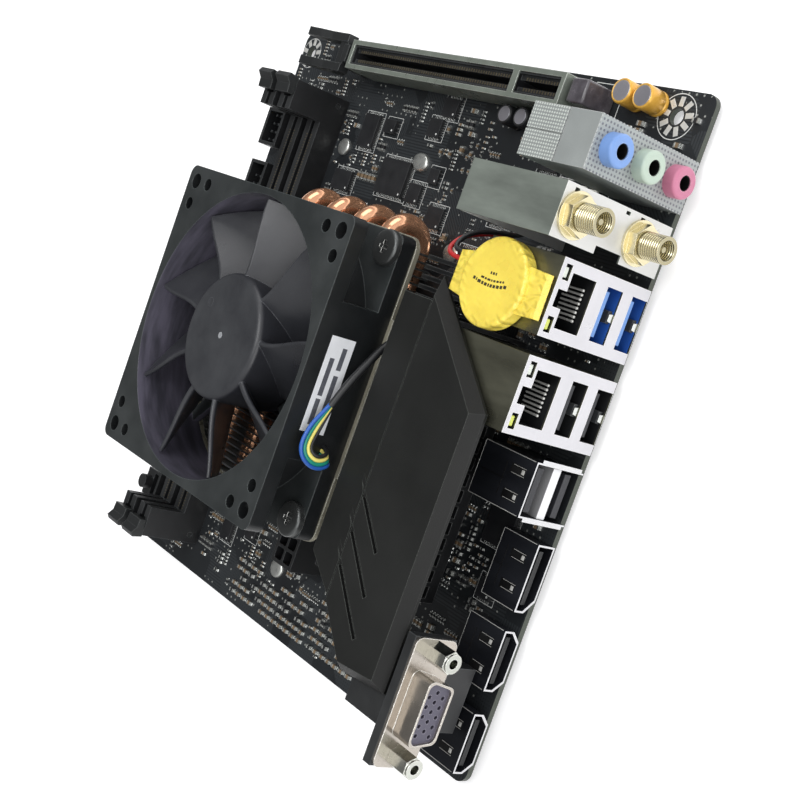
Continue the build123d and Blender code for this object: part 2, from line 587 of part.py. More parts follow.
for colour, jack_z in zip(("blue", "green", "pink"), JACK_Z):
    with BuildPart() as audio_jack:
        rod_y(AUDIO_X, jack_z, JACK_OUTSIDE, (JACK_FRONT, BARREL_BACK))
        fillet(audio_jack.edges().filter_by(GeomType.CIRCLE).sort_by(Axis.Y)[0], 0.7)
        rod_y(AUDIO_X, jack_z, JACK_BORE, (JACK_FRONT - 1, JACK_FRONT + 14.6), Mode.SUBTRACT)
    pieces[f"audio_jack_{colour}"] = audio_jack

# ---- Wireless antenna bracket and its two coaxial sockets -----------------------
SMA_NUT_FLATS = 8.0
SMA_NUT = 2.2
SMA_WASHER = 0.7
NUT_FRONT = WIFI_FACE - SMA_WASHER - SMA_NUT
with BuildPart() as wifi_bracket:
    block(WIFI_X, (WIFI_FACE, WIFI_FACE + SHEET), (TOP, WIFI_TOP))
    block(WIFI_X, (WIFI_FACE, WIFI_BACK), (WIFI_TOP - SHEET, WIFI_TOP))
    block(WIFI_X, (WIFI_BACK - SHEET, WIFI_BACK), (TOP, WIFI_TOP))
    block((WIFI_X[1] - SHEET, WIFI_X[1]), (WIFI_FACE, WIFI_BACK), (TOP, WIFI_TOP))
    for sma_z in SMA_Z:
        rod_y(SMA_X, sma_z, SMA_ROOT, (WIFI_FACE - 1, WIFI_FACE + 1), Mode.SUBTRACT)
    block((WIFI_X[0] - 1, WIFI_X[0] + 1.9), (WIFI_FACE - 1, WIFI_FACE + 1), (14.7, 23.2), Mode.SUBTRACT)
    for slot_z in (34.3, 17.1, 12.0):
        block((WIFI_X[1] - 1.5, WIFI_X[1] - 0.7), (WIFI_FACE - 1, WIFI_FACE + SHEET),
              around(slot_z, 1.4), Mode.SUBTRACT)
pieces["wifi_bracket"] = wifi_bracket

with BuildPart() as sma_connectors:
    for sma_z in SMA_Z:
        rod_y(SMA_X, sma_z, SMA_RADIUS, (SMA_TIP, NUT_FRONT - 0.3))
        rod_y(SMA_X, sma_z, SMA_ROOT, (NUT_FRONT - 0.3, WIFI_FACE + SHEET))
        rod_y(SMA_X, sma_z, 4.4, (WIFI_FACE + SHEET, WIFI_FACE + SHEET + 2.0))
        rod_y(SMA_X, sma_z, 2.35, (SMA_TIP - 1, SMA_TIP + 5), Mode.SUBTRACT)
        rod_y(SMA_X, sma_z, 0.65, (SMA_TIP + 1.0, SMA_TIP + 5))
pieces["sma_connectors"] = sma_connectors

with BuildPart() as sma_nuts:
    for sma_z in SMA_Z:
        with BuildSketch(rear_plane(WIFI_FACE)):
            with Locations((SMA_X, sma_z)):
                Circle(5.3)
                Circle(SMA_ROOT, mode=Mode.SUBTRACT)
        extrude(amount=SMA_WASHER)
        with BuildSketch(rear_plane(WIFI_FACE - SMA_WASHER)):
            with Locations((SMA_X, sma_z)):
                RegularPolygon(SMA_NUT_FLATS / 2, 6, major_radius=False, rotation=12)
                Circle(SMA_ROOT, mode=Mode.SUBTRACT)
        extrude(amount=SMA_NUT)
pieces["sma_nuts"] = sma_nuts

# ---- Two network sockets over double USB ports ----------------------------------
RJ45_DEPTH = 15.0
USB_DEPTH = 14.0
LAMP = (3.6, 1.9)
LAMP_PITCH = 11.8
LAMP_Z = 29.2
for port_name, lan_x in zip(("lan_usb3_shell", "lan_usb2_shell"), LAN_X):
    with BuildPart() as lan_shell:
        block(around(lan_x, LAN_WIDTH), (FACE_Y, LAN_BACK), (TOP, LAN_TOP))
        block(around(lan_x, LAN_WIDTH - 2 * SHEET), (FACE_Y + SHEET, LAN_BACK + 1),
              (TOP - 1, LAN_TOP - SHEET), Mode.SUBTRACT)
        block(around(lan_x, RJ45_WIDTH), (FACE_Y - 1, FACE_Y + 1), RJ45_Z, Mode.SUBTRACT)
        notch_z = (RJ45_Z[1] - 1, NOTCH_TOP)
        block(around(lan_x, NOTCH_WIDTH), (FACE_Y - 1, FACE_Y + 1), notch_z, Mode.SUBTRACT)
        for lamp_x in around(lan_x, LAMP_PITCH):
            block(around(lamp_x, LAMP[0]), (FACE_Y - 1, FACE_Y + 1), around(LAMP_Z, LAMP[1]), Mode.SUBTRACT)
        for usb_z in USB_Z:
            usb_z_range = around(usb_z, USB_HEIGHT)
            block(around(lan_x, USB_WIDTH), (FACE_Y - 1, FACE_Y + 1), usb_z_range, Mode.SUBTRACT)
    pieces[port_name] = lan_shell

with BuildPart() as lan_jack_inserts:
    for lan_x in LAN_X:
        block(around(lan_x, LAN_WIDTH - 2 * SHEET), (FACE_Y + SHEET, LAN_BACK), (TOP, LAN_TOP - SHEET))
        block(around(lan_x, RJ45_WIDTH), (FACE_Y, FACE_Y + RJ45_DEPTH), RJ45_Z, Mode.SUBTRACT)
        block(around(lan_x, NOTCH_WIDTH), (FACE_Y, FACE_Y + RJ45_DEPTH), (RJ45_Z[1] - 1, NOTCH_TOP),
              Mode.SUBTRACT)
        for lamp_x in around(lan_x, LAMP_PITCH):
            block(around(lamp_x, LAMP[0]), (FACE_Y, FACE_Y + 1.5), around(LAMP_Z, LAMP[1]), Mode.SUBTRACT)
        for usb_z in USB_Z:
            block(around(lan_x, USB_WIDTH), (FACE_Y, FACE_Y + USB_DEPTH), around(usb_z, USB_HEIGHT),
                  Mode.SUBTRACT)
pieces["lan_jack_inserts"] = lan_jack_inserts

CONTACT_PITCH = 1.02
CONTACT_Z = 23.2
with BuildPart() as port_contacts:
    for lan_x in LAN_X:
        for index in range(8):
            contact_x = lan_x + (index - 3.5) * CONTACT_PITCH
            with BuildSketch(Plane.YZ.offset(contact_x - 0.22)):
                with BuildLine():
                    Polyline((FACE_Y + 3.0, CONTACT_Z), (FACE_Y + 3.4, CONTACT_Z - 0.4),
                             (FACE_Y + 11.0, RJ45_Z[0] + 0.3), (FACE_Y + 14.0, RJ45_Z[0]),
                             (FACE_Y + 14.0, RJ45_Z[0] + 0.4), (FACE_Y + 11.0, RJ45_Z[0] + 0.8),
                             close=True)
                make_face()
            extrude(amount=0.44)
pieces["port_contacts"] = port_contacts

TONGUE = (10.6, 1.9)
with BuildPart() as usb_tongues:
    for lan_x in LAN_X:
        for usb_z in USB_Z:
            block(around(lan_x, TONGUE[0]), (FACE_Y + 1.2, FACE_Y + USB_DEPTH),
                  (usb_z + 0.2, usb_z + 0.2 + TONGUE[1]))
    for usb_z in DUAL_Z:
        block(around(DUAL_X, TONGUE[0]), (FACE_Y + 1.2, DUAL_BACK - 1), around(usb_z, TONGUE[1]))
    block(around(DUAL_X, DUAL_WIDTH - 1.0), (DUAL_BACK - 3, DUAL_BACK - 0.5), (TOP, DUAL_TOP - 0.5))
    block(around(DUAL_X, DUAL_WIDTH - 1.0), (FACE_Y + 0.6, DUAL_BACK - 3), around(sum(DUAL_Z) / 2, 2.6))
pieces["usb_tongues"] = usb_tongues

with BuildPart() as usb_dual_shell:
    block(around(DUAL_X, DUAL_WIDTH), (FACE_Y, DUAL_BACK), (TOP, DUAL_TOP))
    block(around(DUAL_X, DUAL_WIDTH - 0.8), (FACE_Y - 1, DUAL_BACK - 0.4), (TOP - 1, DUAL_TOP - 0.4),
          Mode.SUBTRACT)
    for lip_x in ((DUAL_X - 7.4, DUAL_X - DUAL_WIDTH / 2), (DUAL_X + DUAL_WIDTH / 2, DUAL_X + 7.4)):
        block(lip_x, (FACE_Y, FACE_Y + 0.4), (TOP + 0.8, DUAL_TOP - 1.6))
pieces["usb_dual_shell"] = usb_dual_shell

# ---- Video ports: DisplayPort, two HDMI and VGA ---------------------------------


def port_points(centre_x, z_range, width, inset, corners):
    """Face outline of a video port with its lower corners cut off."""
    low, high = z_range[0] + inset, z_range[1] - inset
    left, right = centre_x - width / 2 + inset, centre_x + width / 2 - inset
    left_cut, right_cut, rise = corners
    points = [(left, high), (left, low + rise), (left + left_cut, low)]
    if right_cut:
        return points + [(right - right_cut, low), (right, low + rise), (right, high)]
    return points + [(right, low), (right, high)]


def port_prism(port, inset, y_range, mode=Mode.ADD):
    """Bar along Y with the outline of a video port, joined to the part in progress."""
    centre_x, z_range, width, corners = port
    with BuildSketch(rear_plane(y_range[1])) as outline:
        with BuildLine():
            Polyline(*port_points(centre_x, z_range, width, inset, corners), close=True)
        make_face()
    extrude(outline.sketch, amount=y_range[1] - y_range[0], mode=mode)


PORT_SHEET = 0.45
PORT_DEPTH = 8.0
HDMI_CORNERS = (2.4, 2.4, 2.6)
video_ports = [((DP_X, DP_Z, DP_WIDTH, (3.0, 0, 2.6)), DP_BACK)]
video_ports += [((hdmi_x, HDMI_Z, HDMI_WIDTH, HDMI_CORNERS), HDMI_BACK) for hdmi_x in HDMI_X]

with BuildPart() as video_port_shells:
    for port, back in video_ports:
        port_prism(port, 0, (FACE_Y, back))
        port_prism(port, PORT_SHEET, (FACE_Y - 1, back + 1), Mode.SUBTRACT)
pieces["video_port_shells"] = video_port_shells

with BuildPart() as video_port_inserts:
    for port, back in video_ports:
        port_prism(port, PORT_SHEET, (FACE_Y + PORT_DEPTH, back))
        block(around(port[0], port[2] - 3.4), (FACE_Y + 0.8, FACE_Y + PORT_DEPTH),
              around(sum(port[1]) / 2 + 0.2, 1.3))
pieces["video_port_inserts"] = video_port_inserts

VGA_WALL = 0.5
VGA_NARROWING = 1.4
VGA_INSERT_FRONT = VGA_SHELL_FRONT + 0.7
VGA_BACKING_BACK = VGA_FLANGE_Y[1] + 2.6
VGA_BODY_WIDTH = 16.0
VGA_BODY_BOTTOM = 10.0
VGA_LEG_Y = 1.8
SCREW_SHANK = 1.4
SCREW_SOCKET = 1.15


def d_prism(shrink, y_range, mode=Mode.ADD):
    """D-shaped bar along Y, wider at the top, joined to the part in progress."""
    half_top = VGA_SHELL[0] / 2 - shrink
    half_low = half_top - VGA_NARROWING
    half_height = VGA_SHELL[1] / 2 - shrink
    with BuildSketch(rear_plane(y_range[1])) as outline:
        with BuildLine():
            Polyline((VGA_X - half_top, VGA_Z + half_height), (VGA_X - half_low, VGA_Z - half_height),
                     (VGA_X + half_low, VGA_Z - half_height), (VGA_X + half_top, VGA_Z + half_height),
                     close=True)
        make_face()
        fillet(outline.vertices(), 1.6)
    extrude(outline.sketch, amount=y_range[1] - y_range[0], mode=mode)


with BuildPart() as vga_shell:
    with BuildSketch(rear_plane(VGA_FLANGE_Y[1])):
        with Locations((VGA_X, VGA_Z)):
            RectangleRounded(*VGA_FLANGE, 2)
            with GridLocations(VGA_SCREW_PITCH, 1, 2, 1):
                Circle(SCREW_SHANK + 0.1, mode=Mode.SUBTRACT)
    extrude(amount=VGA_FLANGE_Y[1] - VGA_FLANGE_Y[0])
    d_prism(0, (VGA_SHELL_FRONT, VGA_FLANGE_Y[1]))
    d_prism(VGA_WALL, (VGA_SHELL_FRONT - 1, VGA_FLANGE_Y[1] + 1), Mode.SUBTRACT)
pieces["vga_shell"] = vga_shell

CONTACT_ROWS = [(-0.6, 2.0), (0.6, 0.0), (-0.6, -2.0)]
CONTACT_HOLE_PITCH = 2.29
with BuildPart() as vga_insert:
    d_prism(VGA_WALL, (VGA_INSERT_FRONT, VGA_FLANGE_Y[1]))
    for shift_x, row_z in CONTACT_ROWS:
        for index in range(5):
            rod_y(VGA_X + shift_x + (index - 2) * CONTACT_HOLE_PITCH, VGA_Z + row_z, 0.5,
                  (VGA_INSERT_FRONT - 1, VGA_INSERT_FRONT + 5), Mode.SUBTRACT)
pieces["vga_insert"] = vga_insert

with BuildPart() as vga_housing:
    block(around(VGA_X, VGA_FLANGE[0]), (VGA_FLANGE_Y[1], VGA_BACKING_BACK), around(VGA_Z, VGA_FLANGE[1]))
    block(around(VGA_X, VGA_BODY_WIDTH), (VGA_BACKING_BACK, VGA_BODY_BACK), (VGA_BODY_BOTTOM, VGA_BODY_TOP))
    block(around(VGA_X, VGA_BODY_WIDTH), (VGA_LEG_Y, VGA_BODY_BACK), (TOP, VGA_BODY_BOTTOM))
    for screw_x in around(VGA_X, VGA_SCREW_PITCH):
        rod_y(screw_x, VGA_Z, SCREW_SHANK, (VGA_FLANGE_Y[1] - 1, VGA_BACKING_BACK + 1), Mode.SUBTRACT)
pieces["vga_housing"] = vga_housing

with BuildPart() as vga_jackscrews:
    for screw_x in around(VGA_X, VGA_SCREW_PITCH):
        with BuildSketch(rear_plane(VGA_FLANGE_Y[0])) as hexagon:
            with Locations((screw_x, VGA_Z)):
                RegularPolygon(STANDOFF_FLATS / 2, 6, major_radius=False)
        extrude(hexagon.sketch, amount=VGA_FLANGE_Y[0] - STANDOFF_TIP - 0.6)
        rod_y(screw_x, VGA_Z, STANDOFF_FLATS / 2 - 0.1, (STANDOFF_TIP, STANDOFF_TIP + 1))
        rod_y(screw_x, VGA_Z, SCREW_SHANK, (VGA_FLANGE_Y[0], VGA_BACKING_BACK + 2.4))
        rod_y(screw_x, VGA_Z, SCREW_SOCKET, (STANDOFF_TIP - 1, STANDOFF_TIP + 4.6), Mode.SUBTRACT)
        with BuildSketch(rear_plane(VGA_BACKING_BACK + 1.8)) as hexagon:
            with Locations((screw_x, VGA_Z)):
                RegularPolygon(STANDOFF_FLATS / 2, 6, major_radius=False, rotation=20)
        extrude(hexagon.sketch, amount=1.8)
pieces["vga_jackscrews"] = vga_jackscrews

# ---- Voltage regulator: chokes, finned heat sink and its cover -------------------
SINK_TAPER = 38.0
WING_END = (-58.6, -133.6)
WING_FRONT = 19.4
WING_CORNER_X = -124.4
SINK_GROOVES = [((-97.0, 28.6), (-116.6, 8.2)),
                ((-105.4, 28.6), (-126.8, 6.8)),
                ((-113.8, 28.6), (-136.4, 5.4))]
with BuildPart() as sink_wing:
    with BuildSketch(Plane.YZ.offset(WING_END[0])):
        with BuildLine():
            Polyline((WING_FRONT, SINK_LIP_BOTTOM), (WING_FRONT, SINK_TOP - 0.5),
                     (SINK_WING_Y, SINK_TOP - SINK_WING_DROP), (SINK_WING_Y, SINK_LIP_BOTTOM - 0.6),
                     close=True)
        make_face()
    extrude(amount=WING_END[1] - WING_END[0])
    with BuildSketch(Plane.XY.offset(SINK_LIP_BOTTOM - 1)) as corner:
        with BuildLine():
            Polyline((WING_CORNER_X, SINK_WING_Y + 1), (SINK_OUTLINE[4][0], WING_FRONT - 0.4),
                     (WING_END[1] - 1, WING_FRONT - 0.4), (WING_END[1] - 1, SINK_WING_Y + 1), close=True)
        make_face()
    extrude(corner.sketch, amount=6, mode=Mode.SUBTRACT)

GROOVE_Z = (SINK_TOP - GROOVE_DEPTH, SINK_TOP + 1)
with BuildPart() as vrm_heatsink_cap:
    with BuildSketch(Plane.XY.offset(SINK_LIP_BOTTOM)):
        with BuildLine():
            Polyline(*SINK_OUTLINE, close=True)
        make_face()
        offset(amount=SINK_SLOPE, kind=Kind.INTERSECTION)
    extrude(amount=SINK_LIP_TOP - SINK_LIP_BOTTOM)
    lip_face = vrm_heatsink_cap.faces().sort_by(Axis.Z)[-1]
    extrude(lip_face, amount=SINK_TOP - SINK_LIP_TOP, taper=SINK_TAPER)
    add(sink_wing.part)
    block((SINK_OUTLINE[4][0], WING_END[0]), (WING_FRONT, WING_FRONT + 1), GROOVE_Z, Mode.SUBTRACT)
    for start, end in SINK_GROOVES:
        with BuildSketch(Plane.XY.offset(GROOVE_Z[0])) as groove:
            with BuildLine() as centre_line:
                Line(start, end)
            trace(centre_line.line, GROOVE_WIDTH)
        extrude(groove.sketch, amount=GROOVE_Z[1] - GROOVE_Z[0], mode=Mode.SUBTRACT)
pieces["vrm_heatsink_cap"] = vrm_heatsink_cap

SINK_BASE_Z = (7.6, 10.6)
SINK_FIN = 1.1
SINK_FIN_PITCH = 4.15
SINK_FIN_COUNT = 17
SINK_FINS_X = -128.4
SINK_FINS_Y = (14.2, 32.4)
SINK_COMB_X = (-62.0, -48.6)
SINK_COMB_Y = (22.6, 39.6)
SINK_COMB_TOP = 24.6
SINK_COMB_FINS = 6
SINK_FEET_X = [-124.0, -66.0]
comb_pitch = (SINK_COMB_X[1] - SINK_COMB_X[0] - SINK_FIN) / (SINK_COMB_FINS - 1)
with BuildPart() as vrm_heatsink_fins:
    block((SINK_FINS_X, SINK_COMB_X[1]), (SINK_COMB_Y[0], SINK_FINS_Y[1]), SINK_BASE_Z)
    block((SINK_FINS_X, SINK_COMB_X[0]), (SINK_FINS_Y[0], SINK_COMB_Y[0]), SINK_BASE_Z)
    for index in range(SINK_FIN_COUNT):
        fin_x = SINK_FINS_X + index * SINK_FIN_PITCH
        block((fin_x, fin_x + SINK_FIN), SINK_FINS_Y, (SINK_BASE_Z[0], SINK_LIP_BOTTOM - 0.6))
    for index in range(SINK_COMB_FINS):
        fin_x = SINK_COMB_X[0] + index * comb_pitch
        block((fin_x, fin_x + SINK_FIN), SINK_COMB_Y, (SINK_BASE_Z[0], SINK_COMB_TOP))
    for foot_x in SINK_FEET_X:
        block(around(foot_x, 5.0), around(26.0, 5.0), (TOP, SINK_BASE_Z[0]))
pieces["vrm_heatsink_fins"] = vrm_heatsink_fins

CHOKE_X = [-119.0, -109.4, -99.8, -90.2, -80.6]
CHOKE_Y = 36.2
CHOKE = 7.2
TRANSISTOR_Y = [29.2, 22.8]
with BuildPart() as vrm_chokes:
    for choke_x in CHOKE_X:
        block(around(choke_x, CHOKE), around(CHOKE_Y, CHOKE), (TOP, TOP + 5.4))
        for transistor_y in TRANSISTOR_Y:
            block(around(choke_x, 5.0), around(transistor_y, 5.4), (TOP, SINK_BASE_Z[0]))
pieces["vrm_chokes"] = vrm_chokes

# ---- Backup battery: coin cell in a printed sleeve, with its lead ----------------
WRAP_RADIUS = CELL_DIAMETER / 2 + WRAP
CELL_Z = (LAN_TOP + WRAP, LAN_TOP + WRAP + CELL_THICKNESS)
WRAP_Z = (LAN_TOP, CELL_Z[1] + WRAP)
with BuildPart() as battery_cell:
    rod_z(CELL_X, CELL_Y, CELL_DIAMETER / 2, CELL_Z)
    fillet(battery_cell.edges().filter_by(GeomType.CIRCLE), 0.5)
pieces["battery_cell"] = battery_cell

FLAP_TIP_FRONT = [(-55.6, -1.0), (-54.9, -11.4), (-44.8, -11.2), (-44.2, -1.0)]
FLAP_TIP_BACK = [(-56.4, 8.0), (-54.8, 17.4), (-45.4, 17.4), (-44.0, 8.0)]
with BuildPart() as battery_wrap:
    rod_z(CELL_X, CELL_Y, WRAP_RADIUS, WRAP_Z)
    fillet(battery_wrap.edges().filter_by(GeomType.CIRCLE), 0.8)
    for flap in (FLAP_TIP_FRONT, FLAP_TIP_BACK):
        with BuildSketch(Plane.XY.offset(WRAP_Z[0] + 1.0)) as tip:
            with BuildLine():
                Polyline(*flap, close=True)
            make_face()
        extrude(tip.sketch, amount=2.0)
    rod_z(CELL_X, CELL_Y, CELL_DIAMETER / 2, CELL_Z, Mode.SUBTRACT)
pieces["battery_wrap"] = battery_wrap

LEAD_Z = WRAP_Z[0] + 2.0
PLUG_Z = TOP + 1.8
PLUG_Y = (16.7, 21.2)
PLUG_WIDTH = 3.4
with BuildPart() as battery_plug:
    block(around(BATTERY_HEADER[0], PLUG_WIDTH), PLUG_Y, (TOP, TOP + 3.2))
    block(around(BATTERY_HEADER[0], PLUG_WIDTH - 0.8), (12.5, PLUG_Y[0]), (TOP + 2.6, TOP + 3.4))
pieces["battery_plug"] = battery_plug


def lead_route(side):
    """Route of a battery lead from the sleeve, down behind the sockets to its plug."""
    plug_x = BATTERY_HEADER[0] + 0.75 * side
    start_x = -46.7 - 0.75 * side
    corner_y = 29.6 + side
    return [(start_x, FLAP_TIP_BACK[1][1], LEAD_Z), (start_x, 23.4 + side, LEAD_Z),
            (-41.4 - 0.6 * side, 26.0 + side, 27.6), (-38.6 - 0.4 * side, 27.0 + side, 18.0),
            (-37.4 - 0.3 * side, 28.0 + side, 9.0), (-32.0, corner_y, PLUG_Z + 0.6),
            (plug_x, corner_y, PLUG_Z), (plug_x, PLUG_Y[1], PLUG_Z)]


def cord(points, radius):
    """Round tube along a route whose corners are rounded by the largest arcs that fit."""
    with BuildPart() as tube:
        with BuildLine() as route:
            FilletPolyline(*points, radius=largest_radii(points))
        with BuildSketch(Plane(origin=route.line @ 0, z_dir=route.line % 0)):
            Circle(radius)
        sweep(path=route.line)
    length = sum(edge.length for edge in route.edges())
    print("cord radii", [round(value, 1) for value in largest_radii(points)],
          "length", round(length, 1), "tube volume over length x section",
          round(tube.part.volume / (length * pi * radius ** 2), 4))
    return tube


pieces["battery_lead_red"] = cord(lead_route(1), WIRE_RADIUS)
pieces["battery_lead_black"] = cord(lead_route(-1), WIRE_RADIUS)

# ---- Fan cable: four wires in a bundle, then a thin sleeve down to its plug ------
CABLE_RADIUS = 1.2
SLEEVE_START = (-91.1, 38.8, 38.4)
WIRES_ROUTE = [(-103.2, FAN_Y - FAN_SIZE / 2, 33.8), (-103.2, 37.4, 33.8), (-105.4, 37.2, 38.2),
               (-102.8, 38.4, 42.0), (-97.5, 39.0, 40.9), SLEEVE_START]
SLEEVE_ROUTE = [SLEEVE_START, (-85.0, 38.6, 36.0), (-78.6, 38.2, 32.6), (-72.8, 38.0, 29.2),
                (-69.6, 37.6, 24.8), (-69.6, 38.4, 18.6), (-70.4, 43.6, 13.8), (-70.4, 43.6, TOP + 5.6)]
pieces["fan_cable_wires"] = cord(WIRES_ROUTE, CABLE_RADIUS)
pieces["fan_cable_sleeve"] = cord(SLEEVE_ROUTE, CABLE_RADIUS)
with BuildPart() as fan_plug:
    block(around(FAN_HEADER[0], 10.2), around(FAN_HEADER[1] - 0.4, 4.6), (TOP + 3.0, TOP + 5.6))
pieces["fan_plug"] = fan_plug

# ---- Capacitors and packaged circuits on the board --------------------------------
TALL_CAPACITORS = [((2.3, 13.0), 3.1, 8.6), ((2.0, 6.4), 3.1, 8.2),
                   ((-8.1, 50.6), 2.6, 7.8), ((-8.1, 44.4), 2.6, 7.8)]
FILM_CAPACITOR = ((-3.4, 3.2), (20.6, 26.8), (TOP, TOP + 10.2))
with BuildPart() as capacitors:
    for (centre_x, centre_y), radius, height in TALL_CAPACITORS:
        rod_z(centre_x, centre_y, radius, (TOP, height))
    rims = capacitors.edges().filter_by(GeomType.CIRCLE).filter_by(lambda edge: edge.center().Z > TOP + 1)
    fillet(rims, 0.5)
    block(*FILM_CAPACITOR)
pieces["capacitors"] = capacitors

CIRCUITS = [(-30.8, 92.6, 10.4, 12.6, 1.4), (-19.6, 111.0, 10.0, 7.0, 1.2), (-17.0, 101.4, 4.0, 5.0, 1.5),
            (-14.6, 82.2, 5.2, 5.4, 1.2), (-8.4, 78.4, 5.2, 6.0, 1.2), (-27.6, 75.6, 4.2, 4.2, 1.0),
            (-33.6, 81.6, 5.6, 5.6, 1.0), (-38.4, 69.8, 6.0, 6.6, 1.0), (-35.4, 115.6, 6.0, 8.4, 1.3),
            (-46.4, 52.4, 6.0, 6.0, 1.0), (-31.0, 44.0, 9.0, 9.0, 1.2), (-15.6, 34.0, 7.0, 7.0, 1.2),
            (-104.6, 6.6, 9.0, 9.0, 1.2), (-119.6, 4.4, 5.0, 5.0, 1.0), (-153.0, 30.0, 5.0, 6.0, 1.2),
            (-145.6, 112.0, 6.0, 5.0, 1.2), (-141.8, 100.4, 4.0, 5.0, 1.0)]
with BuildPart() as integrated_circuits:
    for centre_x, centre_y, size_x, size_y, height in CIRCUITS:
        block(around(centre_x, size_x), around(centre_y, size_y), (TOP, TOP + height))
pieces["integrated_circuits"] = integrated_circuits

os.makedirs("parts", exist_ok=True)
for name, piece in pieces.items():
    piece.part.label = name
    export_step(piece.part, f"parts/{name}.step")
print(len(pieces), "pieces")
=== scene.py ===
import bmesh
import bpy
import math
import random
from mathutils import Matrix, Vector


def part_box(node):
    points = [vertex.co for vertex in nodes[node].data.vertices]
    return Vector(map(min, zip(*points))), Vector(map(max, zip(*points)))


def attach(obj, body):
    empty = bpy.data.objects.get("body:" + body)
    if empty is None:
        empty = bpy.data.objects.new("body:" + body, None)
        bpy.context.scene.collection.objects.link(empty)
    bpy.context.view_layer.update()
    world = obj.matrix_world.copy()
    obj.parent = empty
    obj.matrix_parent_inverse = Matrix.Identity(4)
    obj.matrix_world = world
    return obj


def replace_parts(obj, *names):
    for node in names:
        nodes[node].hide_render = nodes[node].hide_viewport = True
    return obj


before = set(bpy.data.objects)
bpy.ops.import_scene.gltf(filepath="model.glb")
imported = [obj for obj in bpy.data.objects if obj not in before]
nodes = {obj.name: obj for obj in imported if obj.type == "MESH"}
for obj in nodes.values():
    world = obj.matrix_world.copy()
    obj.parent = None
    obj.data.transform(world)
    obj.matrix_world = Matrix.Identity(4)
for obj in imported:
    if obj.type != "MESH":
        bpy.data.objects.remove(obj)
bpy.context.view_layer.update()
scene = bpy.context.scene
ROOT = "mainboard"
MM = 0.001
X, Y, Z = 0, 1, 2
rng = random.Random(7)

# Places that several pieces share, in millimetres of the row frame.
BOARD_TOP = 1.6
MOUNTING_HOLES = ((0, 0), (0, 154.94), (-157.48, 22.86), (-157.48, 154.94))
COOLER_SCREWS = [(x, y) for x in (-123.75, -48.75) for y in (44.6, 119.6)]
FAN_AXIS = (-86.25, 82.1)
BATTERY_AXIS = (-50.2, 3.6)
EXPANSION_SLOT_X = -0.8
MEMORY_SLOTS_Y = (129.2, 138.7)
DOUBLE_PORTS_X = (-48.9, -71.1)


def metres(*values):
    """Millimetres of the row frame as a vector in metres."""
    return Vector(values) * MM


# ---- Camera ----
# The camera's own axes in the row frame, as found from the photograph.
RIGHT = Vector((0.33633866, -0.59220232, -0.73223816))
UP = Vector((0.93748062, 0.28442232, 0.20058421))
BACK = Vector((0.08947844, -0.75392331, 0.65084042))
camera_data = bpy.data.cameras.new("camera")
camera_data.angle = math.radians(32.404)
camera_data.clip_start = 0.01
camera = bpy.data.objects.new("camera", camera_data)
camera.matrix_world = Matrix.Translation(metres(-54.323, -220.166, 241.883)) @ Matrix(
    (RIGHT, UP, BACK)).transposed().to_4x4()
scene.collection.objects.link(camera)
scene.camera = camera


# ---- Materials ----
def linear(colour):
    """An 8-bit sRGB colour as linear values with alpha."""
    parts = [part / 255 for part in colour]
    return (*(part / 12.92 if part <= 0.04045 else ((part + 0.055) / 1.055) ** 2.4
              for part in parts), 1.0)


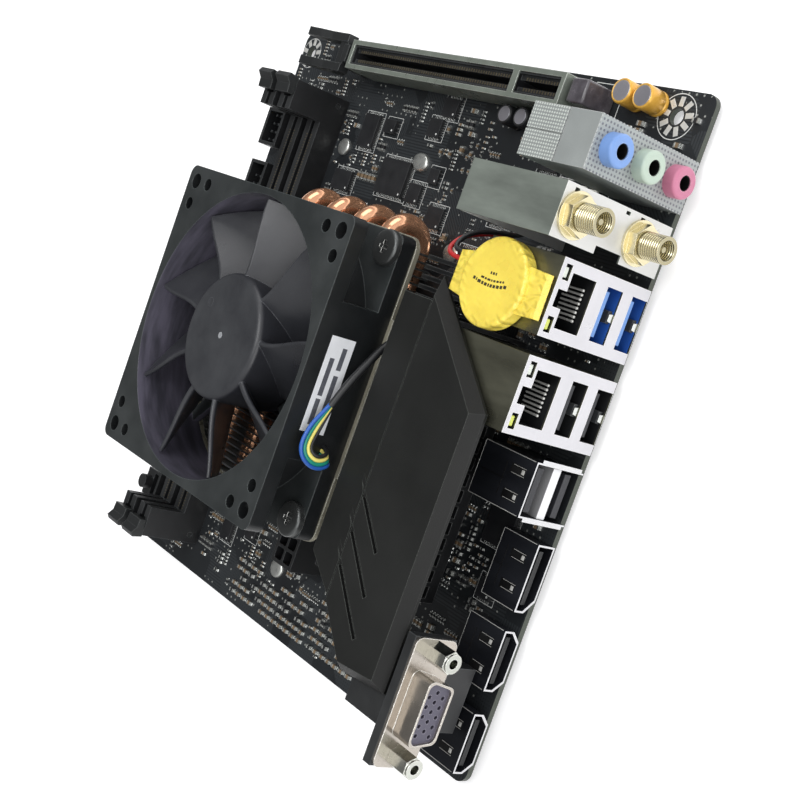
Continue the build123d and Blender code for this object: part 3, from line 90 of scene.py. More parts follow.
class Tree:
    """The shader nodes of one material, with short ways to add and link them."""

    def __init__(self, name):
        self.material = bpy.data.materials.new(name)
        self.material.use_nodes = True
        self.nodes = self.material.node_tree.nodes
        self.links = self.material.node_tree.links
        self.nodes.clear()
        output = self.nodes.new("ShaderNodeOutputMaterial")
        self.shader = self.add("ShaderNodeBsdfPrincipled")
        self.links.new(self.shader.outputs[0], output.inputs[0])
        self.place = self.add("ShaderNodeTexCoord").outputs["Object"]

    def put(self, socket, value):
        """Link a socket to another, or set its number or colour."""
        if isinstance(value, bpy.types.NodeSocket):
            self.links.new(value, socket)
        else:
            socket.default_value = value

    def add(self, kind, inputs=None, **settings):
        """A new node with its settings and inputs."""
        node = self.nodes.new(kind)
        for key, value in settings.items():
            setattr(node, key, value)
        for key, value in (inputs or {}).items():
            self.put(node.inputs[key], value)
        return node

    def set(self, **sockets):
        """Fill the shader's own inputs; an underscore stands for a space."""
        for key, value in sockets.items():
            self.put(self.shader.inputs[key.replace("_", " ")], value)

    def feeding(self, name):
        """The socket that a shader input is linked to so far."""
        return self.shader.inputs[name].links[0].from_socket

    def maths(self, operation, *values):
        node = self.add("ShaderNodeMath", dict(enumerate(values)), operation=operation)
        return node.outputs[0]

    def product(self, first, *others):
        """Values multiplied together, such as masks that all have to hold."""
        for other in others:
            first = self.maths("MULTIPLY", first, other)
        return first

    def mix(self, factor, first, second):
        """One colour turning into another as the factor rises."""
        node = self.add("ShaderNodeMix", {0: factor, 6: first, 7: second}, data_type="RGBA")
        return node.outputs[2]

    def noise(self, scale, detail=3.0, rough=0.55, place=None):
        return self.add("ShaderNodeTexNoise", {"Vector": place or self.place, "Scale": scale,
                                               "Detail": detail, "Roughness": rough}).outputs[0]

    def remap(self, value, low, high, start, end):
        """A value carried from the range low-high to start-end, clamped at both ends."""
        return self.add("ShaderNodeMapRange",
                        {0: value, 1: low, 2: high, 3: start, 4: end}).outputs[0]

    def stretched(self, scale):
        """The place on the object, scaled along each axis."""
        return self.add("ShaderNodeMapping", {"Vector": self.place, "Scale": scale}).outputs[0]

    def split(self, vector=None):
        """The x, y and z of a vector, or of the place on the object."""
        return self.add("ShaderNodeSeparateXYZ", {0: vector or self.place}).outputs

    def normal(self):
        return self.add("ShaderNodeNewGeometry").outputs["Normal"]

    def facing(self, axis):
        """How squarely the surface looks along an axis, without its sign."""
        return self.maths("ABSOLUTE", self.split(self.normal())[axis])

    def length(self, first, second):
        """Length of a vector of two parts."""
        return self.maths("SQRT", self.maths("ADD", self.product(first, first),
                                             self.product(second, second)))

    def reach(self, axis_x, axis_y):
        """Distance from an upright axis, whose place is given in millimetres."""
        x, y, _ = self.split()
        return self.length(self.maths("SUBTRACT", x, axis_x * MM),
                           self.maths("SUBTRACT", y, axis_y * MM))

    def spots(self, pitch, radius, axes=(X, Y)):
        """Mask of round dots on a square grid along two axes, in metres."""
        parts = self.split()
        near = [self.maths("SUBTRACT", self.maths(
            "FRACT", self.maths("DIVIDE", parts[axis], pitch)), 0.5) for axis in axes]
        return self.remap(self.length(*near), radius / pitch * 1.15, radius / pitch * 0.8, 0, 1)

    def cover(self, mask, colour):
        """Lay a colour over the present one where a mask holds."""
        self.set(Base_Color=self.mix(mask, self.feeding("Base Color"), colour))

    def emboss(self, height, strength, distance):
        """Raise or sink the surface by a height map, over the bump it has."""
        bump = self.add("ShaderNodeBump", {"Strength": strength, "Distance": distance,
                                           "Height": height, "Normal": self.feeding("Normal")})
        self.set(Normal=bump.outputs[0])


# The ranges that noise values lie in, for broad patches and for fine grain.
PATCHES = (0.3, 0.7)
GRAINS = (0.35, 0.65)
DUST_GREY = (0.32, 0.34, 0.34, 1)


def scaled(colour, factor, lift=0.0):
    """A linear colour made darker or lighter."""
    return tuple(min(1, part * factor + lift) for part in colour[:3]) + (1,)


def surface(name, colour, rough=0.5, metal=0.0, vary=0.12, patch=70.0, grain=2600.0,
            depth=0.02, rounding=0.2, wear=None, wear_width=0.35, stretch=(1, 1, 1), coat=0.0,
            dust=0.0, rough_vary=0.1, shine=0.5):
    """A procedural finish: tone patches, fine grain, soft edges and worn or dusty places.

    Depth, rounding and wear_width are in millimetres, and patch and grain are noise scales.
    """
    tree = Tree(name)
    place = tree.stretched(stretch)
    tone = tree.noise(patch, 4.0, place=place)
    fine = tree.noise(grain, 2.0, 0.6, place=place)
    base = linear(colour)
    darker, lighter = scaled(base, 1 - vary), scaled(base, 1 + vary, 0.004)
    paint = tree.mix(tree.remap(tone, *PATCHES, 0, 1), darker, lighter)
    paint = tree.mix(tree.remap(fine, *GRAINS, 0, 0.35), paint, darker)
    if dust:
        up = tree.split(tree.normal())[Z]
        veil = tree.product(tree.remap(up, 0.5, 1, 0, dust), tree.remap(tone, 0.35, 0.7, 0.3, 1))
        paint = tree.mix(veil, paint, DUST_GREY)
    roughness = tree.remap(tone, *PATCHES, max(0.04, rough - rough_vary),
                           min(1, rough + rough_vary))
    soft = tree.add("ShaderNodeBevel", {"Radius": rounding * MM}, samples=4)
    if wear:
        wide = tree.add("ShaderNodeBevel", {"Radius": wear_width * MM}, samples=4)
        likeness = tree.add("ShaderNodeVectorMath", {0: wide.outputs[0], 1: tree.normal()},
                            operation="DOT_PRODUCT")
        edge = tree.product(tree.remap(likeness.outputs["Value"], 0.99, 0.86, 0, 1),
                            tree.remap(fine, 0.3, 0.6, 0.35, 1))
        paint = tree.mix(edge, paint, linear(wear))
    bump = tree.add("ShaderNodeBump", {"Strength": 0.8, "Distance": depth * MM, "Height": fine,
                                       "Normal": soft.outputs[0]})
    tree.set(Base_Color=paint, Roughness=roughness, Metallic=metal, Normal=bump.outputs[0],
             Specular_IOR_Level=shine)
    if coat:
        tree.set(Coat_Weight=coat, Coat_Roughness=0.12)
    return tree


def two_tone_with_painted_reflections(name, face, flank, wear, flank_metal=0.9, flank_rough=0.3):
    """A plated shell whose connector face is paler than its top and sides. The flank colour is
    partly real, as the brushed top of the wifi bracket, and partly painted reflection and shade,
    as the greenish tops of the network sockets and the dark tops and inner walls of the other
    shells.
    """
    tree = surface(name, face, rough=0.32, vary=0.05, grain=1400, depth=0.015, rounding=0.18,
                   wear=wear)
    front = tree.maths("GREATER_THAN", tree.facing(Y), 0.6)
    # Streaks along y: brushing on the wifi bracket, painted reflection streaks on the other
    # shells.
    brushing_and_reflection_streaks = tree.noise(150.0, 4.0, place=tree.stretched((1, 0.25, 1)))
    side = tree.mix(tree.remap(brushing_and_reflection_streaks, *GRAINS, 0, 1), scaled(linear(flank), 0.78),
                    scaled(linear(flank), 1.2))
    tree.set(Base_Color=tree.mix(front, side, tree.feeding("Base Color")),
             Metallic=tree.remap(front, 0, 1, flank_metal, 0.4),
             Roughness=tree.maths("ADD", tree.remap(front, 0, 1, flank_rough, 0.32),
                                  tree.remap(brushing_and_reflection_streaks, *PATCHES, -0.05, 0.06)))
    return tree


def board_finish():
    """Black solder mask with buried tracks, plated vias and a layered laminate edge."""
    tree = surface("solder_mask", (31, 34, 37), rough=0.4, vary=0.2, patch=30, grain=5000,
                   depth=0.006, rounding=0.08, rough_vary=0.08, shine=0.35)
    x, y, z = tree.split()
    slanted = tree.add("ShaderNodeMapping", {"Vector": tree.place,
                                             "Rotation": (0, 0, math.radians(45))}).outputs[0]
    # Each zone of the board has tracks along x, along y, on the slant, or a mix of them.
    zones = tree.add("ShaderNodeTexVoronoi", {"Vector": tree.place, "Scale": 75.0},
                     distance="CHEBYCHEV")
    pick = tree.add("ShaderNodeSeparateColor", {0: zones.outputs["Color"]}).outputs
    tracks = None
    for across, zone, share in ((x, pick[0], 0.62), (y, pick[1], 0.7),
                                (tree.split(slanted)[X], pick[2], 0.8)):
        lines = tree.remap(tree.maths("PINGPONG", across, 0.00042), 0.00012, 0.0002, 0, 1)
        lines = tree.product(lines, tree.maths("GREATER_THAN", zone, share))
        tracks = tree.maths("ADD", tracks, lines) if tracks else lines
    tracks = tree.maths("MINIMUM", tracks, 1.0)
    tree.cover(tree.product(tracks, 0.5), linear((60, 64, 67)))
    vias = tree.product(tree.spots(0.0023, 0.00028),
                        tree.maths("GREATER_THAN", tree.noise(180.0, 1.0), 0.56))
    tree.cover(vias, linear((150, 152, 148)))
    layers = tree.remap(tree.maths("PINGPONG", z, 0.0002), 0, 0.0002, 0.25, 0.6)
    tree.cover(tree.maths("LESS_THAN", tree.facing(Z), 0.5),
               tree.mix(layers, linear((44, 50, 48)), linear((92, 96, 84))))
    tree.emboss(tracks, 0.6, 0.00004)
    return tree


def audio_finish():
    """Nickel block: raised dots on top behind a plain strip, and a fine mesh on its face."""
    tree = surface("audio_block", (158, 163, 162), rough=0.5, metal=0.3, vary=0.08, grain=3000,
                   depth=0.01, rounding=0.3, wear=(226, 228, 226))
    on_top = tree.maths("GREATER_THAN", tree.facing(Z), 0.6)
    on_face = tree.maths("GREATER_THAN", tree.facing(Y), 0.6)
    behind = tree.maths("GREATER_THAN", tree.split()[Y], -0.0014)
    dots = tree.product(tree.spots(0.00078, 0.00026), on_top, behind)
    mesh = tree.product(tree.spots(0.0011, 0.0003, axes=(X, Z)), on_face)
    tree.cover(dots, linear((212, 218, 212)))
    tree.cover(mesh, linear((112, 114, 120)))
    tree.emboss(tree.maths("SUBTRACT", dots, mesh), 0.7, 0.00008)
    return tree


def thread_finish():
    """Pale gold with a fine screw thread cut along the y axis, and painted shade in its grooves.
    """
    tree = surface("thread_gold", (220, 212, 180), rough=0.22, metal=1.0, vary=0.08, grain=1500,
                   depth=0.01, rounding=0.1, wear=(248, 242, 216))
    half_pitch = 0.00033
    ridge = tree.remap(tree.maths("PINGPONG", tree.split()[Y], half_pitch), 0, half_pitch, 0, 1)
    cut = tree.product(ridge, tree.maths("LESS_THAN", tree.facing(Y), 0.4))
    # Painted shade: dark gold in the thread grooves; faces across the axis, where the mask is
    # zero, get it too.
    tree.cover(tree.remap(cut, 0.0, 0.5, 0.55, 0.0), linear((110, 100, 70)))
    tree.emboss(cut, 1.0, 0.0002)
    return tree


# The double port with the blue inserts stands on the positive side of this x, in metres.
BLUE_PORT_X = -0.06


def liner_finish():
    """Black socket inserts, blue in the lower half of the first double port."""
    tree = surface("socket_insert", (22, 23, 25), rough=0.45, grain=1800, rounding=0.15,
                   shine=0.4)
    x, y, z = tree.split()
    blue = tree.product(tree.maths("GREATER_THAN", x, BLUE_PORT_X),
                        tree.maths("LESS_THAN", z, 0.0175), tree.maths("LESS_THAN", y, 0.0028))
    tree.cover(blue, linear((38, 84, 164)))
    return tree


def tongue_finish():
    """Blue tongues in the first double port, dark ones elsewhere, and a white divider whose top is
    painted greyer as shade.
    """
    tree = surface("tongues", (38, 39, 44), rough=0.4, grain=1800, rounding=0.2)
    x, _, z = tree.split()
    tree.cover(tree.maths("GREATER_THAN", x, BLUE_PORT_X), linear((102, 144, 206)))
    # The divider is white, with less white where it does not face along y: painted shade on its
    # top.
    divider_white_and_painted_shade = tree.product(tree.maths("LESS_THAN", x, -0.08),
                           tree.maths("COMPARE", z, 0.0096, 0.00135),
                           tree.remap(tree.facing(Y), 0, 1, 0.35, 1))
    tree.cover(divider_white_and_painted_shade, linear((222, 222, 224)))
    return tree


def sink_finish():
    """Black painted aluminium with bright rubbed edges; its sloping flanks are darkened with
    painted shade.
    """
    tree = surface("sink_black", (27, 28, 27), rough=0.55, vary=0.14, patch=45, grain=3800,
                   depth=0.035, rounding=0.18, wear=(104, 108, 104), wear_width=0.3,
                   rough_vary=0.06, shine=0.3)
    # Painted shade: faces that do not look up are darkened towards black.
    tree.cover(tree.remap(tree.facing(Z), 0.75, 0.95, 0.62, 0), (0.002, 0.002, 0.002, 1))
    return tree


def film_finish():
    """Shrunk yellow film with creases towards the battery's rim."""
    tree = surface("yellow_film", (248, 222, 92), rough=0.34, vary=0.1, patch=120, grain=900,
                   depth=0.03, rounding=0.3, coat=0.3)
    folds = tree.add("ShaderNodeTexWave", {"Vector": tree.place, "Scale": 130.0,
                                           "Distortion": 9.0, "Detail": 2.0,
                                           "Detail Scale": 1.6}).outputs[1]
    rim = tree.remap(tree.reach(*BATTERY_AXIS), 0.008, 0.0105, 0.08, 1)
    tree.emboss(tree.product(folds, rim), 0.6, 0.0006)
    tree.set(Subsurface_Weight=0.15, Subsurface_Radius=(0.002, 0.0015, 0.0005))
    return tree


def fan_finish():
    """Green-black plastic of the fan frame, with a painted violet sheen on the duct walls and
    painted shade darkening its outer sides.
    """
    tree = surface("fan_plastic", (34, 38, 39), rough=0.42, vary=0.1, grain=2400, depth=0.03,
                   rounding=0.35, wear=(96, 104, 104), dust=0.06)
    upright = tree.maths("LESS_THAN", tree.facing(Z), 0.5)
    duct = tree.product(tree.maths("LESS_THAN", tree.reach(*FAN_AXIS), 0.0388), upright)
    sheen_streaks = tree.noise(60.0, 3.0, place=tree.stretched((1, 1, 5)))
    # Painted sheen: the duct walls take a violet-grey tone that stands in for light glancing off
    # them.
    painted_sheen = tree.mix(tree.remap(sheen_streaks, *GRAINS, 0, 1), linear((60, 59, 68)),
                     linear((92, 89, 103)))
    # Painted shade: the outer upright sides are darkened towards black.
    outer_shade = tree.product(tree.maths("SUBTRACT", upright, duct), 0.6)
    tree.cover(outer_shade, (0.003, 0.003, 0.004, 1))
    tree.cover(duct, painted_sheen)
    return tree


# Finishes made of surface() alone: each one's sRGB colour and settings.
PLAIN_FINISHES = {
    "rotor_plastic": ((42, 43, 48), dict(rough=0.34, vary=0.1, grain=1800, depth=0.015,
        rounding=0.3, wear=(98, 100, 106), dust=0.08)),
    "black_plastic": ((24, 25, 27), dict(rough=0.48, vary=0.15, grain=2200, wear=(74, 78, 80),
        dust=0.05)),
    "latch_plastic": ((32, 34, 35), dict(rough=0.4, grain=2000, rounding=0.3, wear=(90, 94, 94))),
    "fin_aluminium": ((150, 152, 152), dict(rough=0.38, metal=0.9, vary=0.1, stretch=(1, 1, 8),
        grain=1200, rounding=0.08)),
    "sink_fins": ((24, 25, 27), dict(metal=0.3, grain=2000, rounding=0.15, wear=(110, 112, 112))),
    "copper": ((252, 186, 146), dict(rough=0.12, metal=0.8, vary=0.1, patch=160, grain=700,
        depth=0.01, rough_vary=0.08)),
    "windings": ((150, 84, 44), dict(rough=0.35, metal=0.7, vary=0.2, stretch=(1, 1, 12),
        grain=900, depth=0.1)),
    "plate_steel": ((168, 164, 146), dict(rough=0.3, metal=0.45, stretch=(1, 9, 9), grain=1500,
        wear=(214, 214, 204))),
    "dark_steel": ((70, 72, 74), dict(rough=0.4, metal=0.6, grain=1600, wear=(140, 140, 138))),
    "screw_metal": ((92, 94, 94), dict(rough=0.34, metal=0.75, vary=0.14, grain=1500,
        rounding=0.3, wear=(238, 238, 234))),
    "nickel_face": ((222, 222, 220), dict(rough=0.3, metal=0.75, vary=0.06, grain=1400,
        depth=0.015, rounding=0.18, stretch=(1, 1, 5), wear=(246, 246, 244))),
    "armor": ((146, 154, 144), dict(rough=0.34, metal=0.55, vary=0.07, grain=1500, depth=0.015,
        stretch=(1, 5, 1), wear=(230, 236, 228))),
    "vga_nickel": ((182, 175, 166), dict(rough=0.24, metal=0.95, vary=0.1, patch=110, grain=900,
        rounding=0.35, wear=(240, 238, 232))),
    "steel_hex": ((196, 198, 190), dict(rough=0.22, metal=1.0, vary=0.1, grain=1200,
        rounding=0.25, wear=(240, 240, 234))),
    "gold": ((232, 206, 142), dict(rough=0.2, metal=1.0, vary=0.08, grain=1500, depth=0.01,
        rounding=0.15, wear=(250, 236, 190))),
    "pale_gold": ((220, 210, 174), dict(rough=0.24, metal=1.0, vary=0.08, grain=1500,
        wear=(250, 240, 206))),
    "blue_jack": ((112, 148, 206), dict(rough=0.4, vary=0.06, grain=1800, rounding=0.4,
        wear=(178, 202, 236), coat=0.15)),
    "green_jack": ((176, 192, 178), dict(rough=0.42, vary=0.06, grain=1800, rounding=0.4,
        wear=(214, 224, 214), coat=0.15)),
    "pink_jack": ((188, 112, 140), dict(rough=0.4, vary=0.06, grain=1800, rounding=0.4,
        wear=(232, 178, 196), coat=0.15)),
    "violet_insert": ((78, 75, 90), dict(vary=0.08, grain=1800, wear=(150, 146, 160))),
    "chip": ((28, 29, 32), dict(vary=0.14, patch=260, grain=4200, rounding=0.12,
        wear=(70, 72, 74))),
    "ferrite": ((52, 54, 56), dict(rough=0.55, vary=0.14, grain=2400, depth=0.04, rounding=0.3,
        wear=(96, 98, 98))),
    "bronze": ((146, 108, 60), dict(rough=0.35, metal=1.0, grain=1400)),
    "cell_steel": ((200, 200, 196), dict(rough=0.25, metal=1.0, grain=1200)),
    "white_nylon": ((232, 230, 220), dict(rough=0.45, vary=0.05, grain=1500)),
    "red_wire": ((190, 40, 40), dict(rough=0.4, vary=0.1, grain=1200, rounding=0.05)),
    "black_wire": ((30, 31, 33), dict(rough=0.4, vary=0.15, grain=1200, rounding=0.05)),
    "blue_wire": ((40, 92, 176), dict(rough=0.36, vary=0.1, grain=1200, rounding=0.05)),
    "green_wire": ((30, 140, 118), dict(rough=0.36, vary=0.1, grain=1200, rounding=0.05)),
    "yellow_wire": ((238, 224, 120), dict(rough=0.36, vary=0.08, grain=1200, rounding=0.05)),
    "solder": ((206, 208, 206), dict(rough=0.25, metal=0.9, patch=900, grain=2400, depth=0.03,
        rounding=0.1)),
    "pad_silver": ((214, 216, 212), dict(rough=0.3, metal=0.85, vary=0.1, patch=400, grain=2400,
        rounding=0.1)),
    "silk": ((214, 216, 214), dict(rough=0.6, vary=0.1, patch=900, grain=6000, depth=0.004,
        rounding=0.02)),
    "tan_ceramic": ((128, 108, 84), dict(vary=0.16, patch=420, grain=3000, rounding=0.08)),
    "paper": ((226, 228, 232), dict(rough=0.62, vary=0.04, patch=260, grain=4200, depth=0.008,
        rounding=0.05)),
    "ink": ((84, 86, 94), dict(rough=0.6, vary=0.2, patch=900, grain=5000, depth=0.004,
        rounding=0.02)),
    "cap_sleeve": ((222, 168, 62), dict(rough=0.3, metal=0.3, vary=0.08, grain=1600,
        wear=(246, 214, 130), coat=0.3)),
    "cap_top": ((186, 184, 192), dict(rough=0.3, metal=0.8, vary=0.1, grain=1600,
        wear=(226, 226, 232))),
    "dim_gold": ((104, 96, 78), dict(rough=0.35, metal=0.7, vary=0.2, grain=2200, rounding=0.1)),
    "jack_hole": ((14, 14, 15), dict(vary=0.2, grain=1800, shine=0.3)),
    "print_black": ((52, 46, 30), dict(rough=0.6, vary=0.2, patch=900, grain=5000, depth=0.004,
        rounding=0.02)),
    "tin": ((216, 216, 212), dict(rough=0.34, metal=0.35, vary=0.08, patch=600, depth=0.015,
        rounding=0.06)),
    "film_box": ((84, 80, 86), dict(rough=0.2, vary=0.35, patch=420, grain=1500, rounding=0.4,
        coat=0.5)),
    # The hub's dimple: pale grey as a painted highlight on the dark rotor.
    "dimple_highlight": ((150, 152, 156), dict(rough=0.25, vary=0.1, rounding=0.1)),
    "lamp_yellow": ((206, 214, 96), dict(rough=0.25, vary=0.08, grain=1500, coat=0.4)),
    "lamp_clear": ((214, 220, 210), dict(rough=0.2, vary=0.06, grain=1500, coat=0.5)),
}
finishes = {name: surface(name, colour, **settings)
            for name, (colour, settings) in PLAIN_FINISHES.items()}
finishes.update({
    "board": board_finish(),
    "audio": audio_finish(),
    "film": film_finish(),
    "fan_plastic": fan_finish(),
    "sink_black": sink_finish(),
    # Flank colours: a painted greenish reflection on the network sockets, painted dark reflection
    # and shade on the dual USB and video shells, a brushed tone on the wifi bracket.
    "lan_nickel": two_tone_with_painted_reflections("lan_nickel", (200, 199, 203), (128, 128, 112), (246, 246, 244)),
    "port_nickel": two_tone_with_painted_reflections("port_nickel", (206, 206, 208), (40, 42, 48), (226, 226, 228),
                            flank_metal=0.6, flank_rough=0.42),
    "wifi_nickel": two_tone_with_painted_reflections("wifi_nickel", (206, 206, 204), (150, 158, 150), (228, 232, 228),
                            flank_metal=0.6, flank_rough=0.38),
    "thread_gold": thread_finish(),
    "liner": liner_finish(),
    "tongues": tongue_finish(),
})

# Each finish and the CAD nodes that wear it.
WORN_BY = {
    "board": "circuit_board",
    "dark_steel": "cpu_backplate cooler_mount_frame",
    "screw_metal": "fan_screws cooler_mount_screws",
    "black_plastic": "cpu_socket pcie_slot_housing power_connectors sata_ports pin_headers "
                     "video_port_inserts vga_housing fan_plug dimm_slot_a dimm_slot_b",
    "nickel_face": "cpu_package",
    "copper": "cooler_base cooler_heat_pipes",
    "fin_aluminium": "cooler_fins",
    "plate_steel": "fan_plate",
    "fan_plastic": "fan_frame",
    "bronze": "fan_bearing",
    "windings": "fan_windings",
    "rotor_plastic": "fan_rotor",
    "steel_hex": "fan_shaft vga_jackscrews",
    "armor": "pcie_slot_armor",
    "latch_plastic": "pcie_latch dimm_latch_a_near dimm_latch_a_far dimm_latch_b_near "
                     "dimm_latch_b_far",
    "audio": "audio_shield",
    "blue_jack": "audio_jack_blue",
    "green_jack": "audio_jack_green",
    "pink_jack": "audio_jack_pink",
    "wifi_nickel": "wifi_bracket",
    "thread_gold": "sma_connectors",
    "pale_gold": "sma_nuts",
    "lan_nickel": "lan_usb3_shell lan_usb2_shell",
    "liner": "lan_jack_inserts",
    "gold": "port_contacts",
    "tongues": "usb_tongues",
    "port_nickel": "usb_dual_shell video_port_shells",
    "vga_nickel": "vga_shell",
    "violet_insert": "vga_insert",
    "sink_black": "vrm_heatsink_cap",
    "sink_fins": "vrm_heatsink_fins",
    "ferrite": "vrm_chokes",
    "cell_steel": "battery_cell",
    "film": "battery_wrap",
    "white_nylon": "battery_plug",
    "chip": "integrated_circuits",
}
for finish, names in WORN_BY.items():
    for node_name in names.split():
        data = nodes[node_name].data
        data.materials.clear()
        data.materials.append(finishes[finish].material)


# ---- Cords: the battery's leads, the fan's four wires and their sleeve ----
def smooth_line(name, points, resolution):
    """Curve data for the smooth line that a route's points make, given in millimetres."""
    curve = bpy.data.curves.new(name, "CURVE")
    curve.dimensions = "3D"
    curve.resolution_u = resolution
    spline = curve.splines.new("NURBS")
    spline.points.add(len(points) - 1)
    for spot, point in zip(spline.points, points):
        spot.co = (*metres(*point), 1.0)
    spline.order_u = 3
    spline.use_endpoint_u = True
    return curve


def cord_curve(name, points, radius, finish):
    """A smooth tube along a route, on the board's body."""
    curve = smooth_line(name, points, 10)
    curve.bevel_depth = radius * MM
    curve.bevel_resolution = 5
    curve.use_fill_caps = True
    curve.materials.append(finishes[finish].material)
    piece = bpy.data.objects.new(name, curve)
    scene.collection.objects.link(piece)
    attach(piece, ROOT)
    return piece


def cord_length(points):
    """Length in metres of the smooth line that a route's points make."""
    probe = bpy.data.objects.new("measure", smooth_line("measure", points, 24))
    mesh = bpy.data.meshes.new_from_object(probe)
    spots = [vertex.co for vertex in mesh.vertices]
    total = sum((spots[a] - spots[b]).length for a, b in (edge.vertices for edge in mesh.edges))
    bpy.data.objects.remove(probe)
    return total


# The fan's wires leave its frame in a loop and run on inside their sleeve to the plug.
SLEEVE_START = (-91.1, 38.8, 38.4)
WIRES_ROUTE = [(-103.2, 42.1, 33.8), (-103.2, 37.4, 33.8), (-105.4, 37.2, 38.2),
               (-102.8, 38.4, 42.0), (-97.5, 39.0, 40.9), SLEEVE_START, (-85.0, 38.6, 36.0),
               (-80.4, 38.3, 33.6)]
SLEEVE_ROUTE = [SLEEVE_START, (-85.0, 38.6, 36.0), (-78.6, 38.2, 32.6), (-72.8, 38.0, 29.2),
                (-69.6, 37.6, 24.8), (-69.6, 38.4, 18.6), (-70.4, 43.6, 13.8), (-70.4, 43.6, 7.2)]
# Which way a wire's shift goes at each point: the loop lies flat, with blue outermost.
LOOP_OUTWARD = [(-1, 0, 0), (-0.7, 0, -0.7), (-1, 0, 0), (-0.4, 0, 0.9), (0.35, 0, 0.94),
                (0.09, 0, 0.2), (0.07, 0, 0.15), (0.07, 0, 0.15)]
WIRE_PITCH = 1.1
for index, colour in enumerate(("blue", "green", "yellow", "black")):
    shift = (1.5 - index) * WIRE_PITCH
    route = [tuple(part + shift * out for part, out in zip(point, outward))
             for point, outward in zip(WIRES_ROUTE, LOOP_OUTWARD)]
    wire = cord_curve(f"fan_wire_{colour}", route, 0.52, f"{colour}_wire")
    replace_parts(wire, "fan_cable_wires")
    cord_length(route)
sleeve = cord_curve("fan_wire_sleeve", SLEEVE_ROUTE, 1.0, "black_wire")
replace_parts(sleeve, "fan_cable_sleeve")
cord_length(SLEEVE_ROUTE)
# Both leads leave the sleeve's flap, drop behind the sockets and lie on the board.
for colour, side in (("red", 1), ("black", -1)):
    start_x, plug_x, corner_y = -46.7 - 0.75 * side, -22.6 + 0.75 * side, 29.6 + side
    route = [(start_x, 17.4, 33.4), (start_x, 23.4 + side, 33.4),
             (-41.4 - 0.6 * side, 26.0 + side, 27.6), (-38.6 - 0.4 * side, 27.0 + side, 18.0),
             (-37.4 - 0.3 * side, 28.0 + side, 9.0), (-32.0, corner_y, 4.0),
             (plug_x, corner_y, 3.4), (plug_x, 21.2, 3.4)]
    lead = cord_curve(f"cell_lead_{colour}", route, 0.6, f"{colour}_wire")
    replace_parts(lead, f"battery_lead_{colour}")
    cord_length(route)


# ---- Mesh helpers: every piece is a group of small solids made here ----
def about(middle, half):
    """The range that reaches half a width to either side of its middle."""
    return (middle - half, middle + half)


def add_slab(mesh, x_range, y_range, z_range, turn=0.0, inset=0.0):
    """Block in millimetres, turned about its own centre, narrowed at the top by the inset."""
    centre_x, centre_y = sum(x_range) / 2, sum(y_range) / 2
    half_x, half_y = abs(x_range[1] - x_range[0]) / 2, abs(y_range[1] - y_range[0]) / 2
    cosine, sine = math.cos(turn), math.sin(turn)
    rings = []
    for z, shrink in ((z_range[0], 0.0), (z_range[1], inset)):
        ring = []
        for sign_x, sign_y in ((-1, -1), (1, -1), (1, 1), (-1, 1)):
            x, y = sign_x * (half_x - shrink), sign_y * (half_y - shrink)
            spot = (centre_x + x * cosine - y * sine, centre_y + x * sine + y * cosine, z)
            ring.append(mesh.verts.new(metres(*spot)))
        rings.append(ring)
    low, high = rings
    mesh.faces.new(low[::-1])
    mesh.faces.new(high)
    for a, b in ((0, 1), (1, 2), (2, 3), (3, 0)):
        mesh.faces.new((low[a], low[b], high[b], high[a]))


def add_ring(mesh, centre, radius, count, half_x, half_y, z_range, inset=0.0):
    """Slabs in a ring about a centre, each turned outwards."""
    for step in range(count):
        angle = 2 * math.pi * step / count
        add_slab(mesh, about(centre[0] + radius * math.cos(angle), half_x),
                 about(centre[1] + radius * math.sin(angle), half_y), z_range, angle, inset)


def add_turned(mesh, centre, profile, steps=24, squash=(1.0, 1.0), turn=0.0, upright=True):
    """Turned solid in millimetres from profile points (radius, place along its axis).

    The axis is upright at x, y, or lies along y at x, z.
    """
    rings = []
    for radius, along in profile:
        ring = []
        for step in range(steps):
            angle = 2 * math.pi * step / steps
            x, y = radius * math.cos(angle) * squash[0], radius * math.sin(angle) * squash[1]
            first = centre[0] + (x * math.cos(turn) - y * math.sin(turn))
            second = centre[1] + (x * math.sin(turn) + y * math.cos(turn))
            spot = (first, second, along) if upright else (first, along, second)
            ring.append(mesh.verts.new(metres(*spot)))
        rings.append(ring)
    for low, high in zip(rings, rings[1:]):
        for step in range(steps):
            following = (step + 1) % steps
            mesh.faces.new((low[step], low[following], high[following], high[step]))
    mesh.faces.new(rings[0][::-1])
    mesh.faces.new(rings[-1])


def make_piece(name, mesh, finish, bevel=0.0, smooth=35, body=ROOT):
    """A visible piece from a mesh, smooth below an angle in degrees, riding on a body."""
    bmesh.ops.recalc_face_normals(mesh, faces=mesh.faces)
    data = bpy.data.meshes.new(name)
    mesh.to_mesh(data)
    mesh.free()
    data.materials.append(finishes[finish].material)
    piece = bpy.data.objects.new(name, data)
    scene.collection.objects.link(piece)
    if bevel:
        soften = piece.modifiers.new("soften", "BEVEL")
        soften.width = bevel * MM
        soften.segments = 2
        soften.limit_method = "ANGLE"
    for face in data.polygons:
        face.use_smooth = True
    data.set_sharp_from_angle(angle=math.radians(smooth))
    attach(piece, body)
    return piece


# ---- Footprints that the small parts keep clear of, as (left, front, right, back) ----
NODE_MARGIN = 0.7
blocked = []
for node_name in ("pcie_slot_armor", "dimm_slot_a", "dimm_slot_b", "audio_shield",
                  "wifi_bracket", "lan_usb3_shell", "lan_usb2_shell", "usb_dual_shell",
                  "fan_plug", "battery_plug", "cpu_socket"):
    low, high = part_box(node_name)
    blocked.append((low[0] / MM - NODE_MARGIN, low[1] / MM - NODE_MARGIN,
                    high[0] / MM + NODE_MARGIN, high[1] / MM + NODE_MARGIN))
